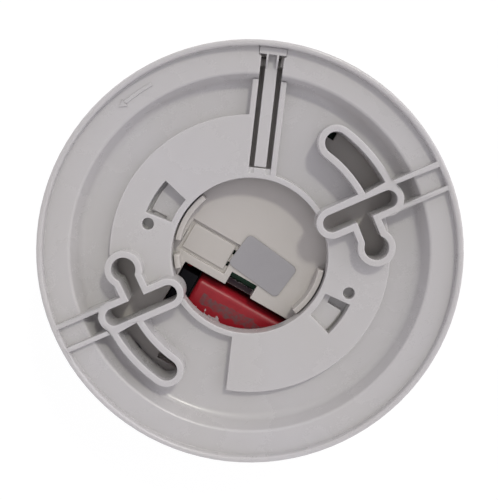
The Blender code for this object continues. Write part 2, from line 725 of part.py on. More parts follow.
def screw_places():
    """Centres of the case screws."""
    return [(CASE_SCREW_CIRCLE * math.cos(a), CASE_SCREW_CIRCLE * math.sin(a)) for a in CASE_SCREW_ANGLES]


def case_inside(gap):
    """The space inside the front cover's side and rounded edge, shrunk all round by a gap."""
    edge = CASE_EDGE_RADIUS - CASE_WALL - gap
    centre = (BRACKET_RADIUS - CASE_EDGE_RADIUS, CASE_EDGE_RADIUS - FRONT_FACE)
    bend = arc(edge, 0.0, -TRAY_BEND_ANGLE, SMALL // 2, centre)
    profile = [(0.0, 0.0), (bend[0][0], 0.0)] + bend
    profile += [(bend[-1][0], -FRONT_FACE), (0.0, -FRONT_FACE)]
    return turned(profile, CASE_FACETS)


def make_rear_housing(parent, material):
    """The alarm's back: a dished plate that carries the board, and the tray for the battery."""
    profile = [
        (0.0, -CHASSIS_TOP),
        (WELL_INNER, -CHASSIS_TOP),
        (WELL_INNER, -FLANGE_TOP),
        (FLANGE_OUTER, -FLANGE_TOP),
        (FLANGE_OUTER, -FLANGE_UNDERSIDE),
        (WELL_OUTER, -FLANGE_UNDERSIDE),
        (WELL_OUTER, -CHASSIS_UNDERSIDE),
        (0.0, -CHASSIS_UNDERSIDE),
    ]
    housing = piece("rear_housing", turned(profile, CASE_FACETS), material, parent)
    inside_plate = -(CHASSIS_TOP + CHASSIS_WALL / 2)
    above = -(CHASSIS_TOP - CUT_MARGIN)
    below = -(CHASSIS_UNDERSIDE + CUT_MARGIN)

    tray = block(
        BAY_LEFT_X - TRAY_WALL,
        BAY_RIGHT_X + TRAY_WALL,
        BAY_FAR_Y - TRAY_WALL,
        BAY_NEAR_Y + TRAY_WALL,
        -TRAY_UNDERSIDE,
        inside_plate,
    )
    tray_tool = add(housing, tray, "tray")
    clip(tray_tool, case_inside(TRAY_CASE_GAP), "round")

    wells = [drum(SCREW_WELL_RADIUS, -SCREW_WELL_END, inside_plate, COARSE, at) for at in screw_places()]
    add(housing, gathered(wells), "screw_wells")
    posts = [drum(STANDOFF_RADIUS, -STANDOFF_END, inside_plate, SMALL, at) for at in STANDOFF_PLACES]
    add(housing, gathered(posts), "standoffs")
    arc_top = -GUIDE_ARC_TOP
    spans = [
        (GUIDE_ARC_START, GUIDE_ARC_END),
        (math.pi + GUIDE_ARC_START, math.pi + GUIDE_ARC_END),
        (SHORT_ARC_START, SHORT_ARC_END),
    ]
    walls = [
        raised(sector(GUIDE_ARC_INNER, GUIDE_ARC_OUTER, start, end, SMALL), inside_plate, arc_top)
        for start, end in spans
    ]
    add(housing, gathered(walls), "guide_arcs")

    cavity_top = -(CHASSIS_UNDERSIDE + BURY / 10)
    cavity = block(BAY_LEFT_X, BAY_RIGHT_X, BAY_FAR_Y, BAY_NEAR_Y, -TRAY_FLOOR_TOP, cavity_top)
    cavity_tool = cut(housing, cavity, "battery_bay")
    clip(cavity_tool, case_inside(TRAY_CASE_GAP + TRAY_CORNER_WALL), "round")
    mouth = block(BAY_LEFT_X, BAY_RIGHT_X, BAY_FAR_Y, BAY_NEAR_Y, below, above)
    mouth_tool = cut(housing, mouth, "bay_mouth")
    clip(mouth_tool, drum(BAY_CLIP, below - CUT_MARGIN, above + CUT_MARGIN, FINE), "round")
    finger_end = FINGER_START_X + FINGER_LENGTH
    finger_low = BAY_FAR_Y - FINGER_DEPTH
    finger_bottom = -(BATTERY_TOP + BATTERY_WIDTH / 2)
    finger = block(FINGER_START_X, finger_end, finger_low, BAY_FAR_Y + CUT_MARGIN, finger_bottom, above)
    cut(housing, finger, "finger_gap")
    notch_end = NOTCH_START_X + NOTCH_WIDTH
    notch = block(NOTCH_START_X, notch_end, BAY_NEAR_Y - CUT_MARGIN, BAY_NEAR_Y + NOTCH_DEPTH, -BOARD_BACK, above)
    cut(housing, notch, "board_notch")

    for label, side in (("right", 0.0), ("left", math.pi)):
        turn = side + HOOK_ANGLE
        slot = sector(HOOK_SLOT_INNER, HOOK_SLOT_OUTER, LEDGE_ANGLE, HOOK_SLOT_END_ANGLE, SMALL)
        cut(housing, moved(raised(slot, below, above), turn=turn), f"{label}_hook_slot")
        groove = sector(HOOK_SLOT_OUTER - RUNNING_GAP, HOOK_SLOT_OUTER, -LEDGE_ANGLE, LEDGE_ANGLE, SMALL)
        cut(housing, moved(raised(groove, below, above), turn=turn), f"{label}_ledge_groove")

    tongue_line = TONGUE_ANGLE - BODY_ANGLE
    tongue_half = math.asin((TONGUE_WIDTH / 2 + RUNNING_GAP) / WELL_INNER)
    track = sector(
        WELL_INNER - CUT_MARGIN,
        FLANGE_OUTER + CUT_MARGIN,
        tongue_line - tongue_half,
        tongue_line + tongue_half + TWIST_ANGLE,
        SMALL,
    )
    track_bottom = -(PLATEAU_DEPTH + TONGUE_THICKNESS + RUNNING_GAP)
    cut(housing, raised(track, track_bottom, -FLANGE_TOP + CUT_MARGIN), "tongue_track")

    head_room = CASE_SCREW_HEAD_RADIUS + RUNNING_GAP
    sinks = [drum(head_room, -SCREW_SEAT, above, COARSE, at) for at in screw_places()]
    cut(housing, gathered(sinks), "screw_sinks")
    shank_room = CASE_SCREW_RADIUS + SEAT_GAP
    bores = [drum(shank_room, -SCREW_WELL_END - CUT_MARGIN, above, SMALL, at) for at in screw_places()]
    cut(housing, gathered(bores), "screw_bores")
    pilot_room = BOARD_SCREW_RADIUS + SEAT_GAP
    pilot_top = -(CHASSIS_UNDERSIDE - CHASSIS_WALL * PILOT_ROOF_SHARE)
    pilots = [drum(pilot_room, -STANDOFF_END - CUT_MARGIN, pilot_top, SMALL, at) for at in STANDOFF_PLACES]
    cut(housing, gathered(pilots), "pilot_holes")

    pocket_end = POCKET_START_X + POCKET_LENGTH
    pocket_low = POCKET_TOP_Y - POCKET_WIDTH
    pocket_floor = -(CHASSIS_TOP + POCKET_DEPTH)
    pocket = block(POCKET_START_X, pocket_end, pocket_low, POCKET_TOP_Y, pocket_floor, -GUIDE_ARC_TOP)
    cut(housing, pocket, "pocket")
    pad = block(
        POCKET_START_X + POCKET_MARGIN,
        pocket_end - POCKET_MARGIN,
        pocket_low + POCKET_MARGIN,
        POCKET_TOP_Y - POCKET_MARGIN,
        pocket_floor - BURY / 2,
        pocket_floor + PAD_RISE,
    )
    add(housing, pad, "pocket_pad")
    slot_far = pocket_end - SEAT_GAP / 2
    slot_near = slot_far - POCKET_SLOT_WIDTH
    slot_half = POCKET_SLOT_LENGTH / 2
    pocket_slots = [
        block(slot_near, slot_far, place - slot_half, place + slot_half, below, above)
        for place in (POCKET_SLOT_UPPER_Y, POCKET_SLOT_LOWER_Y)
    ]
    cut(housing, gathered(pocket_slots), "pocket_slots")
    spy_half_x, spy_half_y = SPY_HOLE_LENGTH / 2, SPY_HOLE_WIDTH / 2
    spy = block(
        SPY_HOLE_X - spy_half_x,
        SPY_HOLE_X + spy_half_x,
        SPY_HOLE_Y - spy_half_y,
        SPY_HOLE_Y + spy_half_y,
        below,
        above,
    )
    cut(housing, spy, "spy_hole")
    lead_room = LEAD_SPACING / 2 + LEAD_RADIUS + RUNNING_GAP
    lead_x = BATTERY_END_X - SEAT_GAP - SNAP_THICKNESS / 2
    lead_z = lead_height()
    gate = block(
        lead_x - lead_room,
        lead_x + lead_room,
        BAY_NEAR_Y - CUT_MARGIN,
        BAY_NEAR_Y + TRAY_WALL + CUT_MARGIN,
        lead_z - LEAD_RADIUS - RUNNING_GAP,
        lead_z + LEAD_RADIUS + RUNNING_GAP,
    )
    cut(housing, gate, "lead_gate")
    return housing


def lead_height():
    """Height of the battery leads, at the middle of their header."""
    return -(PART_SEAT + HEADER_HEIGHT / 2)


def make_front_cover(parent, material):
    """The cup that closes the front, with smoke slots round its side."""
    edge = CASE_EDGE_RADIUS
    inner_edge = edge - CASE_WALL
    side_end = FRONT_FACE - edge
    quarter = math.pi / 2
    outer_round = arc(edge, 0.0, -quarter, EDGE_STEPS, (BRACKET_RADIUS - edge, -side_end))
    inner_round = arc(inner_edge, -quarter, 0.0, EDGE_STEPS, (BRACKET_RADIUS - edge, -side_end))
    profile = [(0.0, -FRONT_INSIDE)] + inner_round
    profile += [
        (COVER_INNER, -(LEDGE_TOP + LEDGE_HEIGHT)),
        (LEDGE_INNER, -(LEDGE_TOP + LEDGE_HEIGHT)),
        (LEDGE_INNER, -LEDGE_TOP),
        (COVER_INNER, -LEDGE_TOP),
        (COVER_INNER, -COVER_TOP),
        (BRACKET_RADIUS, -COVER_TOP),
    ]
    profile += outer_round + [(0.0, -FRONT_FACE)]
    cover = piece("front_cover", turned(profile, CASE_FACETS), material, parent)

    bosses = [drum(BOSS_RADIUS, -FRONT_INSIDE - CASE_WALL / 2, -BOSS_TOP, COARSE, at) for at in screw_places()]
    add(cover, gathered(bosses), "screw_bosses")
    hole_end = SCREW_SEAT + CASE_SCREW_LENGTH + CUT_MARGIN
    shank_room = CASE_SCREW_RADIUS + SEAT_GAP
    holes = [drum(shank_room, -hole_end, -BOSS_TOP + CUT_MARGIN, SMALL, at) for at in screw_places()]
    cut(cover, gathered(holes), "boss_holes")

    vent_low = -(side_end - SIDE_VENT_ABOVE_EDGE)
    vents = []
    for index in range(SIDE_VENT_COUNT):
        half = SIDE_VENT_WIDTH / 2
        vent = block(
            COVER_INNER - CUT_MARGIN,
            BRACKET_RADIUS + CUT_MARGIN,
            -half,
            half,
            vent_low,
            vent_low + SIDE_VENT_HEIGHT,
        )
        vents.append(moved(vent, turn=math.tau * (index + 0.5) / SIDE_VENT_COUNT))
    cut(cover, gathered(vents), "side_vents")

    inside, outside = -FRONT_INSIDE + CUT_MARGIN, -FRONT_FACE - CUT_MARGIN
    slots = []
    for index in range(HORN_SLOT_COUNT):
        offset = (index - (HORN_SLOT_COUNT - 1) / 2) * HORN_SLOT_PITCH
        half = math.sqrt((HORN_SLOT_LENGTH / 2) ** 2 - offset**2 / 2)
        outline = capsule(-half, half, HORN_SLOT_WIDTH / 2, SMALL // 2)
        slots.append(moved(raised(outline, outside, inside), HORN_X, HORN_Y + offset))
    cut(cover, gathered(slots), "horn_slots")
    cut(cover, drum(BUTTON_RADIUS + SEAT_GAP, outside, inside, MEDIUM, (0.0, BUTTON_Y)), "button_hole")
    cut(cover, drum(LED_RADIUS + SEAT_GAP, outside, inside, SMALL, (LED_X, LED_Y)), "lamp_hole")
    return cover


def make_button(parent, button_material, stem_material):
    """The press-to-test button with its plunger, and the switch stem that it drives."""
    axis = empty("button_axis", parent, (0.0, BUTTON_Y, 0.0))
    flange_low = -(FRONT_INSIDE - SEAT_GAP)
    flange_high = flange_low + BUTTON_FLANGE_HEIGHT
    stem_top = -(PART_SEAT + SWITCH_ROOF + BUTTON_TRAVEL + SEAT_GAP)
    stem_low = stem_top - STEM_LENGTH
    face = -(FRONT_FACE + BUTTON_PROUD)
    profile = [
        (0.0, stem_low - SEAT_GAP),
        (PLUNGER_RADIUS, stem_low - SEAT_GAP),
        (PLUNGER_RADIUS, flange_high),
        (BUTTON_RADIUS + BUTTON_FLANGE, flange_high),
        (BUTTON_RADIUS + BUTTON_FLANGE, flange_low),
        (BUTTON_RADIUS, flange_low),
        (BUTTON_RADIUS, face + BUTTON_EDGE),
        (BUTTON_RADIUS - BUTTON_EDGE, face),
        (0.0, face),
    ]
    piece("test_button", turned(profile, MEDIUM), button_material, axis)
    piece("switch_stem", drum(STEM_RADIUS, stem_low, stem_top, SMALL), stem_material, axis)


def make_switch(parent, material):
    """The tactile switch under the test button."""
    half = SWITCH_SIZE / 2
    low = -(PART_SEAT + SWITCH_HEIGHT)
    body = block(-half, half, BUTTON_Y - half, BUTTON_Y + half, low, -PART_SEAT)
    switch = piece("tact_switch", body, material, parent)
    roof = -(PART_SEAT + SWITCH_ROOF)
    cut(switch, drum(STEM_RADIUS + SEAT_GAP, low - CUT_MARGIN, roof, SMALL, (0.0, BUTTON_Y)), "stem_bore")


def make_lamp(parent, lamp_material, pipe_material):
    """The status lamp on the board and the light pipe that carries it to the front."""
    end = PART_SEAT + LED_HEIGHT
    profile = [(0.0, -PART_SEAT), (LED_RADIUS, -PART_SEAT), (LED_RADIUS, -(end - LED_RADIUS))]
    profile += arc(LED_RADIUS, 0.0, -math.pi / 2, 4, (0.0, -(end - LED_RADIUS)))[1:]
    profile[-1] = (0.0, -end)
    piece("status_led", moved(turned(profile, SMALL), LED_X, LED_Y), lamp_material, parent)
    flange_low = -(FRONT_INSIDE - SEAT_GAP)
    pipe = [
        (0.0, -(end + SEAT_GAP)),
        (LED_RADIUS, -(end + SEAT_GAP)),
        (LED_RADIUS, flange_low + BUTTON_FLANGE_HEIGHT),
        (LED_RADIUS + PIPE_FLANGE, flange_low + BUTTON_FLANGE_HEIGHT),
        (LED_RADIUS + PIPE_FLANGE, flange_low),
        (LED_RADIUS, flange_low),
        (LED_RADIUS, -FRONT_FACE),
        (0.0, -FRONT_FACE),
    ]
    piece("light_pipe", moved(turned(pipe, SMALL), LED_X, LED_Y), pipe_material, parent)


def make_board(parent, material):
    """The circuit board: a disc cut straight along the battery tray."""
    start = math.asin(BOARD_EDGE_Y / BOARD_RADIUS)
    outline = arc(BOARD_RADIUS, start, math.pi - start, MEDIUM)
    board = piece("main_pcb", raised(outline, -BOARD_FRONT, -BOARD_BACK), material, parent)
    low, high = -BOARD_FRONT - CUT_MARGIN, -BOARD_BACK + CUT_MARGIN
    room = SCREW_WELL_RADIUS + RUNNING_GAP
    holes = [drum(room, low, high, COARSE, at) for at in screw_places() if at[1] > BOARD_EDGE_Y - room]
    cut(board, gathered(holes), "boss_clearance")
    room = BOARD_SCREW_RADIUS + SEAT_GAP
    holes = [drum(room, low, high, SMALL, at) for at in STANDOFF_PLACES]
    cut(board, gathered(holes), "screw_holes")


def make_screws(parent, material):
    """Case screws go in from the back, board screws from the front."""
    seat = -SCREW_SEAT + SEAT_GAP
    for index, (x, y) in enumerate(screw_places(), start=1):
        profile = [
            (0.0, seat + CASE_SCREW_HEAD),
            (CASE_SCREW_HEAD_RADIUS * HEAD_TOP_SHARE, seat + CASE_SCREW_HEAD),
            (CASE_SCREW_HEAD_RADIUS, seat + CASE_SCREW_HEAD * HEAD_SIDE_SHARE),
            (CASE_SCREW_HEAD_RADIUS, seat),
            (CASE_SCREW_RADIUS, seat),
            (CASE_SCREW_RADIUS, seat - CASE_SCREW_LENGTH + CASE_SCREW_RADIUS),
            (0.0, seat - CASE_SCREW_LENGTH),
        ]
        piece(f"case_screw_{index}", moved(turned(profile, SMALL), x, y), material, parent)
    length = BOARD_THICKNESS + STANDOFF_HEIGHT
    for index, (x, y) in enumerate(STANDOFF_PLACES, start=1):
        profile = [
            (0.0, -PART_SEAT + length),
            (BOARD_SCREW_RADIUS, -PART_SEAT + length - BOARD_SCREW_RADIUS),
            (BOARD_SCREW_RADIUS, -PART_SEAT),
            (BOARD_SCREW_HEAD_RADIUS, -PART_SEAT),
            (BOARD_SCREW_HEAD_RADIUS, -PART_SEAT - BOARD_SCREW_HEAD * HEAD_SIDE_SHARE),
            (BOARD_SCREW_HEAD_RADIUS * HEAD_TOP_SHARE, -PART_SEAT - BOARD_SCREW_HEAD),
            (0.0, -PART_SEAT - BOARD_SCREW_HEAD),
        ]
        piece(f"board_screw_{index}", moved(turned(profile, SMALL), x, y), material, parent)


def make_chamber(parent, black, screen_material, diode_material):
    """The optical chamber: base, labyrinth cover, insect screen and two diodes."""
    base = drum(CHAMBER_RADIUS, -CHAMBER_FLOOR, -PART_SEAT, MEDIUM)
    piece("chamber_base", moved(base, CHAMBER_X, CHAMBER_Y), black, parent)

    vane_outer = CHAMBER_RADIUS - SCREEN_WIRE - SEAT_GAP
    vane_low = -(CHAMBER_END - CHAMBER_CAP / 2)
    vane_high = -(CHAMBER_FLOOR + SEAT_GAP)
    cap = drum(vane_outer, -CHAMBER_END, -(CHAMBER_END - CHAMBER_CAP), MEDIUM)
    cover = piece("chamber_cover", moved(cap, CHAMBER_X, CHAMBER_Y), black, parent)
    vanes = []
    half = VANE_WIDTH / 2
    for index in range(VANE_COUNT):
        vane = block(-VANE_DEPTH / 2, VANE_DEPTH / 2, -half, half, vane_low, vane_high)
        moved(vane, turn=math.pi / 4)
        moved(vane, vane_outer - VANE_DEPTH / 2)
        moved(vane, turn=math.tau * index / VANE_COUNT)
        vanes.append(moved(vane, CHAMBER_X, CHAMBER_Y))
    add(cover, gathered(vanes), "vanes")

    wire = SCREEN_WIRE
    screen_high = -(CHAMBER_FLOOR + SEAT_GAP + wire / 2)
    screen_low = -(CHAMBER_END - CHAMBER_CAP)
    rows = [screen_high + (screen_low - screen_high) * i / SCREEN_ROWS for i in range(SCREEN_ROWS + 1)]
    shape = bmesh.new()
    lines = [shape.verts.new((CHAMBER_RADIUS - wire / 2, 0.0, height)) for height in rows]
    edges = [shape.edges.new(pair) for pair in zip(lines, lines[1:])]
    bmesh.ops.spin(
        shape,
        geom=lines + edges,
        axis=(0, 0, 1),
        cent=(0, 0, 0),
        steps=SCREEN_COLUMNS,
        angle=math.tau,
        use_merge=True,
    )
    bmesh.ops.remove_doubles(shape, verts=shape.verts, dist=1e-7)
    bmesh.ops.recalc_face_normals(shape, faces=shape.faces)
    screen = piece("insect_screen", moved(shape, CHAMBER_X, CHAMBER_Y), screen_material, parent)
    lattice = screen.modifiers.new("lattice", "WIREFRAME")
    lattice.thickness = wire
    lattice.use_replace = True
    lattice.use_boundary = True
    lattice.use_even_offset = False

    height = -(CHAMBER_FLOOR + SEAT_GAP + DIODE_RADIUS)
    for name, angle in zip(("ir_emitter", "photodiode"), DIODE_ANGLES):
        straight = DIODE_LENGTH - DIODE_RADIUS
        profile = [(0.0, 0.0)]
        profile += [(DIODE_RADIUS * math.sin(a), straight + DIODE_RADIUS * math.cos(a)) for a in dome_angles()]
        profile += [(DIODE_RADIUS, 0.0)]
        profile = [(0.0, DIODE_LENGTH)] + profile[2:] + [(0.0, 0.0)]
        diode = along_x(turned(profile, SMALL))
        moved(diode, -DIODE_OFFSET - DIODE_LENGTH / 2)
        moved(diode, turn=angle + math.pi)
        piece(name, moved(diode, CHAMBER_X, CHAMBER_Y, height), diode_material, parent)


def dome_angles():
    """Angles from a dome's tip to its rim."""
    return [math.pi / 2 * i / 4 for i in range(5)]


def make_sounder(parent, black, brass, ceramic_material):
    """The horn on the board: housing, brass disc with its ceramic, and three contacts."""
    end = PART_SEAT + HORN_HEIGHT
    ledge = PART_SEAT + HORN_LEDGE_DEPTH
    bore = HORN_RADIUS - HORN_WALL
    shelf = PIEZO_RADIUS - HORN_WALL
    profile = [
        (bore, -PART_SEAT),
        (bore, -ledge),
        (shelf, -ledge),
        (shelf, -(ledge + HORN_WALL)),
        (bore, -(ledge + HORN_WALL)),
        (bore, -(end - HORN_WALL)),
        (HORN_MOUTH_RADIUS, -(end - HORN_WALL)),
        (HORN_MOUTH_RADIUS, -end),
        (HORN_RADIUS, -end),
        (HORN_RADIUS, -PART_SEAT),
    ]
    piece("horn_housing", moved(turned(profile, MEDIUM), HORN_X, HORN_Y), black, parent)
    disc_low = -(ledge - SEAT_GAP)
    disc_high = disc_low + PIEZO_THICKNESS
    disc = drum(PIEZO_RADIUS, disc_low, disc_high, MEDIUM, (HORN_X, HORN_Y))
    piece("piezo_disc", disc, brass, parent)
    ceramic_low = disc_high + STICKER_GAP
    ceramic_high = ceramic_low + CERAMIC_THICKNESS
    ceramic = drum(CERAMIC_RADIUS, ceramic_low, ceramic_high, MEDIUM, (HORN_X, HORN_Y))
    piece("piezo_ceramic", ceramic, ceramic_material, parent)
    for name, offset in zip(("main", "feedback", "ground"), CONTACT_OFFSETS):
        touch = ceramic_high if offset < CERAMIC_RADIUS else disc_high
        pin = drum(CONTACT_RADIUS, touch + SEAT_GAP, -PART_SEAT, SMALL // 2, (HORN_X + offset, HORN_Y))
        piece(f"piezo_contact_{name}", pin, brass, parent)


def make_battery(parent, materials):
    """The 9 V battery on edge in its bay, with its snap connector and leads."""
    outline = rounded_rectangle(BATTERY_THICKNESS, BATTERY_WIDTH, BATTERY_EDGE_RADIUS, 5)
    body = along_x(raised(outline, 0.0, BATTERY_LENGTH))
    moved(body, BATTERY_END_X, BATTERY_MID_Y, BATTERY_MID_Z)
    piece("battery_body", body, materials["battery_red"], parent)
    terminals = (
        ("battery_terminal_positive", POSITIVE_RADIUS, TERMINAL_SPACING / 2, SMALL),
        ("battery_terminal_negative", NEGATIVE_RADIUS, -TERMINAL_SPACING / 2, 6),
    )
    snap_face = BATTERY_END_X - SEAT_GAP
    snap = block(
        snap_face - SNAP_THICKNESS,
        snap_face,
        BATTERY_MID_Y - SNAP_WIDTH / 2,
        BATTERY_MID_Y + SNAP_WIDTH / 2,
        BATTERY_MID_Z - SNAP_LENGTH / 2,
        BATTERY_MID_Z + SNAP_LENGTH / 2,
    )
    connector = piece("battery_snap", snap, materials["black_vinyl"], parent)
    for name, radius, offset, steps in terminals:
        stud = along_x(drum(radius, -SEAT_GAP - TERMINAL_HEIGHT, -SEAT_GAP, steps))
        moved(stud, BATTERY_END_X, BATTERY_MID_Y, BATTERY_MID_Z + offset)
        piece(name, stud, materials["plated_steel"], parent)
        socket = along_x(drum(radius + SEAT_GAP, -TERMINAL_HEIGHT - 3 * SEAT_GAP, CUT_MARGIN, COARSE))
        moved(socket, BATTERY_END_X, BATTERY_MID_Y, BATTERY_MID_Z + offset)
        cut(connector, socket, f"{name}_socket")

    lead_x = snap_face - SNAP_THICKNESS / 2
    start_y = BATTERY_MID_Y + SNAP_WIDTH / 2 + SEAT_GAP
    end_y = BOARD_EDGE_Y + HEADER_WIDTH / 2
    for name, side, finish in (("positive", -1, "lead_red"), ("negative", 1, "lead_black")):
        x = lead_x + side * LEAD_SPACING / 2
        lead = drum(LEAD_RADIUS, start_y, end_y, SMALL // 2)
        lead.transform(Matrix.Rotation(-math.pi / 2, 4, "X"))
        piece(f"battery_lead_{name}", moved(lead, x, 0.0, lead_height()), materials[finish], parent)
    header_low = end_y + SEAT_GAP
    header = block(
        lead_x - HEADER_LENGTH / 2,
        lead_x + HEADER_LENGTH / 2,
        header_low,
        header_low + HEADER_WIDTH,
        -(PART_SEAT + HEADER_HEIGHT),
        -PART_SEAT,
    )
    piece("lead_header", header, materials["switch_black"], parent)


def make_components(parent, materials):
    """The larger parts soldered to the board."""
    can_end = PART_SEAT + CAPACITOR_HEIGHT
    can = [
        (0.0, -PART_SEAT),
        (CAPACITOR_RADIUS, -PART_SEAT),
        (CAPACITOR_RADIUS, -can_end + BUTTON_EDGE),
        (CAPACITOR_RADIUS - BUTTON_EDGE, -can_end),
        (0.0, -can_end),
    ]
    capacitor = moved(turned(can, COARSE), CAPACITOR_X, CAPACITOR_Y)
    piece("supply_capacitor", capacitor, materials["capacitor_sleeve"], parent)
    coil_end = PART_SEAT + COIL_HEIGHT
    lip = COIL_HEIGHT * COIL_LIP_SHARE
    waist = COIL_RADIUS * COIL_WAIST_SHARE
    coil = [
        (0.0, -PART_SEAT),
        (COIL_RADIUS, -PART_SEAT),
        (COIL_RADIUS, -PART_SEAT - lip),
        (waist, -PART_SEAT - lip),
        (waist, -coil_end + lip),
        (COIL_RADIUS, -coil_end + lip),
        (COIL_RADIUS, -coil_end),
        (0.0, -coil_end),
    ]
    piece("horn_coil", moved(turned(coil, COARSE), COIL_X, COIL_Y), materials["ferrite"], parent)
    chip = block(
        CHIP_X - CHIP_LENGTH / 2,
        CHIP_X + CHIP_LENGTH / 2,
        CHIP_Y - CHIP_WIDTH / 2,
        CHIP_Y + CHIP_WIDTH / 2,
        -(PART_SEAT + CHIP_HEIGHT),
        -PART_SEAT,
    )
    piece("controller_ic", chip, materials["switch_black"], parent)


def make_label(parent, material):
    """The small grey sticker on the chassis, bare."""
    low = -(CHASSIS_TOP - STICKER_GAP)
    outline = rounded_rectangle(LABEL_LENGTH, LABEL_WIDTH, LABEL_CORNER, 5)
    label = raised(outline, low, low + LABEL_THICKNESS)
    piece("rating_label", moved(label, LABEL_X, LABEL_Y, turn=LABEL_TURN), material, parent)


def make_materials():
    """Colours and finishes, read from the photograph where it shows the piece."""
    return {
        "bracket_white": plastic("bracket_white", (0.60, 0.58, 0.56), 0.45),
        "case_white": plastic("case_white", (0.62, 0.60, 0.56), 0.45),
        "button_white": plastic("button_white", (0.55, 0.55, 0.54), 0.40),
        "board_green": plastic("board_green", (0.01, 0.10, 0.04), 0.40),
        "battery_red": plastic("battery_red", (0.40, 0.01, 0.02), 0.30),
        "black_vinyl": plastic("black_vinyl", (0.01, 0.01, 0.01), 0.60),
        "switch_black": plastic("switch_black", (0.02, 0.02, 0.02), 0.50),
        "chamber_black": plastic("chamber_black", (0.01, 0.01, 0.01), 0.70),
        "capacitor_sleeve": plastic("capacitor_sleeve", (0.02, 0.03, 0.08), 0.35),
        "ferrite": plastic("ferrite", (0.05, 0.05, 0.05), 0.60),
        "label_grey": plastic("label_grey", (0.33, 0.33, 0.34), 0.40),
        "lead_red": plastic("lead_red", (0.40, 0.01, 0.01), 0.50),
        "lead_black": plastic("lead_black", (0.01, 0.01, 0.01), 0.50),
        "clear_pipe": plastic("clear_pipe", (0.80, 0.80, 0.80), 0.10),
        "lamp_red": plastic("lamp_red", (0.50, 0.02, 0.02), 0.15),
        "smoked_diode": plastic("smoked_diode", (0.03, 0.02, 0.05), 0.15),
        "brass": plastic("brass", (0.70, 0.50, 0.20), 0.35, 1.0),
        "plated_steel": plastic("plated_steel", (0.60, 0.60, 0.60), 0.30, 1.0),
        "steel_mesh": plastic("steel_mesh", (0.45, 0.45, 0.45), 0.40, 1.0),
        "ceramic": plastic("ceramic", (0.70, 0.70, 0.68), 0.50),
    }


def main():
    """Build the bracket, its tongue and the alarm below it."""
    clear_scene()
    finish = make_materials()
    ceiling = empty("ceiling_frame")
    make_bracket(ceiling, finish["bracket_white"])
    make_tongue(ceiling, finish["bracket_white"])
    alarm = empty("alarm_axis", ceiling, turn=BODY_ANGLE)
    make_rear_housing(alarm, finish["case_white"])
    make_front_cover(alarm, finish["case_white"])
    make_button(alarm, finish["button_white"], finish["switch_black"])
    make_switch(alarm, finish["switch_black"])
    make_lamp(alarm, finish["lamp_red"], finish["clear_pipe"])
    make_board(alarm, finish["board_green"])
    make_screws(alarm, finish["plated_steel"])
    make_chamber(alarm, finish["chamber_black"], finish["steel_mesh"], finish["smoked_diode"])
    make_sounder(alarm, finish["chamber_black"], finish["brass"], finish["ceramic"])
    make_battery(alarm, finish)
    make_components(alarm, finish)
    make_label(alarm, finish["label_grey"])


main()
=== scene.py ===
"""Looks for a round smoke alarm and its ceiling bracket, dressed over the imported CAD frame.

Metres, +Z up, in the frame's own axes: the origin is on the alarm's axis in the ceiling plane.
"""
import json
import math

import bmesh
import bpy
from bpy.props import FloatProperty, FloatVectorProperty, PointerProperty
from mathutils import Matrix, Vector
from mathutils.bvhtree import BVHTree

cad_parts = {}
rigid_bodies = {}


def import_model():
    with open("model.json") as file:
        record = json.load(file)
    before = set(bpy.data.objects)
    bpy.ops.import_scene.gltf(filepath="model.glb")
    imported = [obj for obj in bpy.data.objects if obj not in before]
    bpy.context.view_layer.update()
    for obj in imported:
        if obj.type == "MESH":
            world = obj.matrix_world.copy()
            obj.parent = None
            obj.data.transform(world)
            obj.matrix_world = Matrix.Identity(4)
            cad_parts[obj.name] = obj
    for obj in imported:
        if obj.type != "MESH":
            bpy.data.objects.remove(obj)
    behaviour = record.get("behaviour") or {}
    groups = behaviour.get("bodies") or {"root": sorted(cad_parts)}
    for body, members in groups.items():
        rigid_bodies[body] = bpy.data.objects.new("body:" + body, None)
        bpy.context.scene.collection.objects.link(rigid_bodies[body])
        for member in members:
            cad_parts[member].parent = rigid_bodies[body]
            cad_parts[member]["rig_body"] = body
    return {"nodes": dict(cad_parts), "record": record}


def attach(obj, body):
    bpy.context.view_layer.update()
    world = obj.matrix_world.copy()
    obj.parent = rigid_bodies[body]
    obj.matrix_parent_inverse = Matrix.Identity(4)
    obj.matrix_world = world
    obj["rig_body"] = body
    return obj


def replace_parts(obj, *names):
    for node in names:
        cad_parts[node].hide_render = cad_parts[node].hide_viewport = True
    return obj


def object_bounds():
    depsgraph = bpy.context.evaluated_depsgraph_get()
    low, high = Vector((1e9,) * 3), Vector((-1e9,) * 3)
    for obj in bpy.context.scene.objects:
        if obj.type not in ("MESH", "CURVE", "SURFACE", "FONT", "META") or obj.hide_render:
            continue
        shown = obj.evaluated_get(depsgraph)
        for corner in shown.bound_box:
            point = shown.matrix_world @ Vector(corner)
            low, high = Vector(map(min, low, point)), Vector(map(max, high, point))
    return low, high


bl_info = {
    "name": "Smoke alarm looks",
    "version": (1, 0, 0),
    "blender": (4, 5, 0),
    "location": "3D View > Sidebar > Smoke alarm",
    "description": "Finishes the pieces of a smoke alarm and its ceiling bracket",
    "category": "Object",
}

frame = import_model()
CAD_BOX = [list(corner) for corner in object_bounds()]
CAD_LOWEST = CAD_BOX[0][2]
CAD_HIGHEST = CAD_BOX[1][2]
SLOT_OF = {part["node"]: part["material_slot"] for part in frame["record"]["subparts"]}

# Mesh work on copies of CAD nodes
WELD = 0.00002
SHORT_EDGE = 0.0002
FLAT_ANGLE = math.radians(0.6)
SHARP_ANGLE = math.radians(28.0)
SMOOTH_ANGLE = math.radians(35.0)
ROUND_STEPS = 2
CROWN_STEPS = 4
ROUND_PROFILE = 0.5
STRAY_SHARE = 1.2
THIN_ROUND_SHARE = 1.0 / 3.0

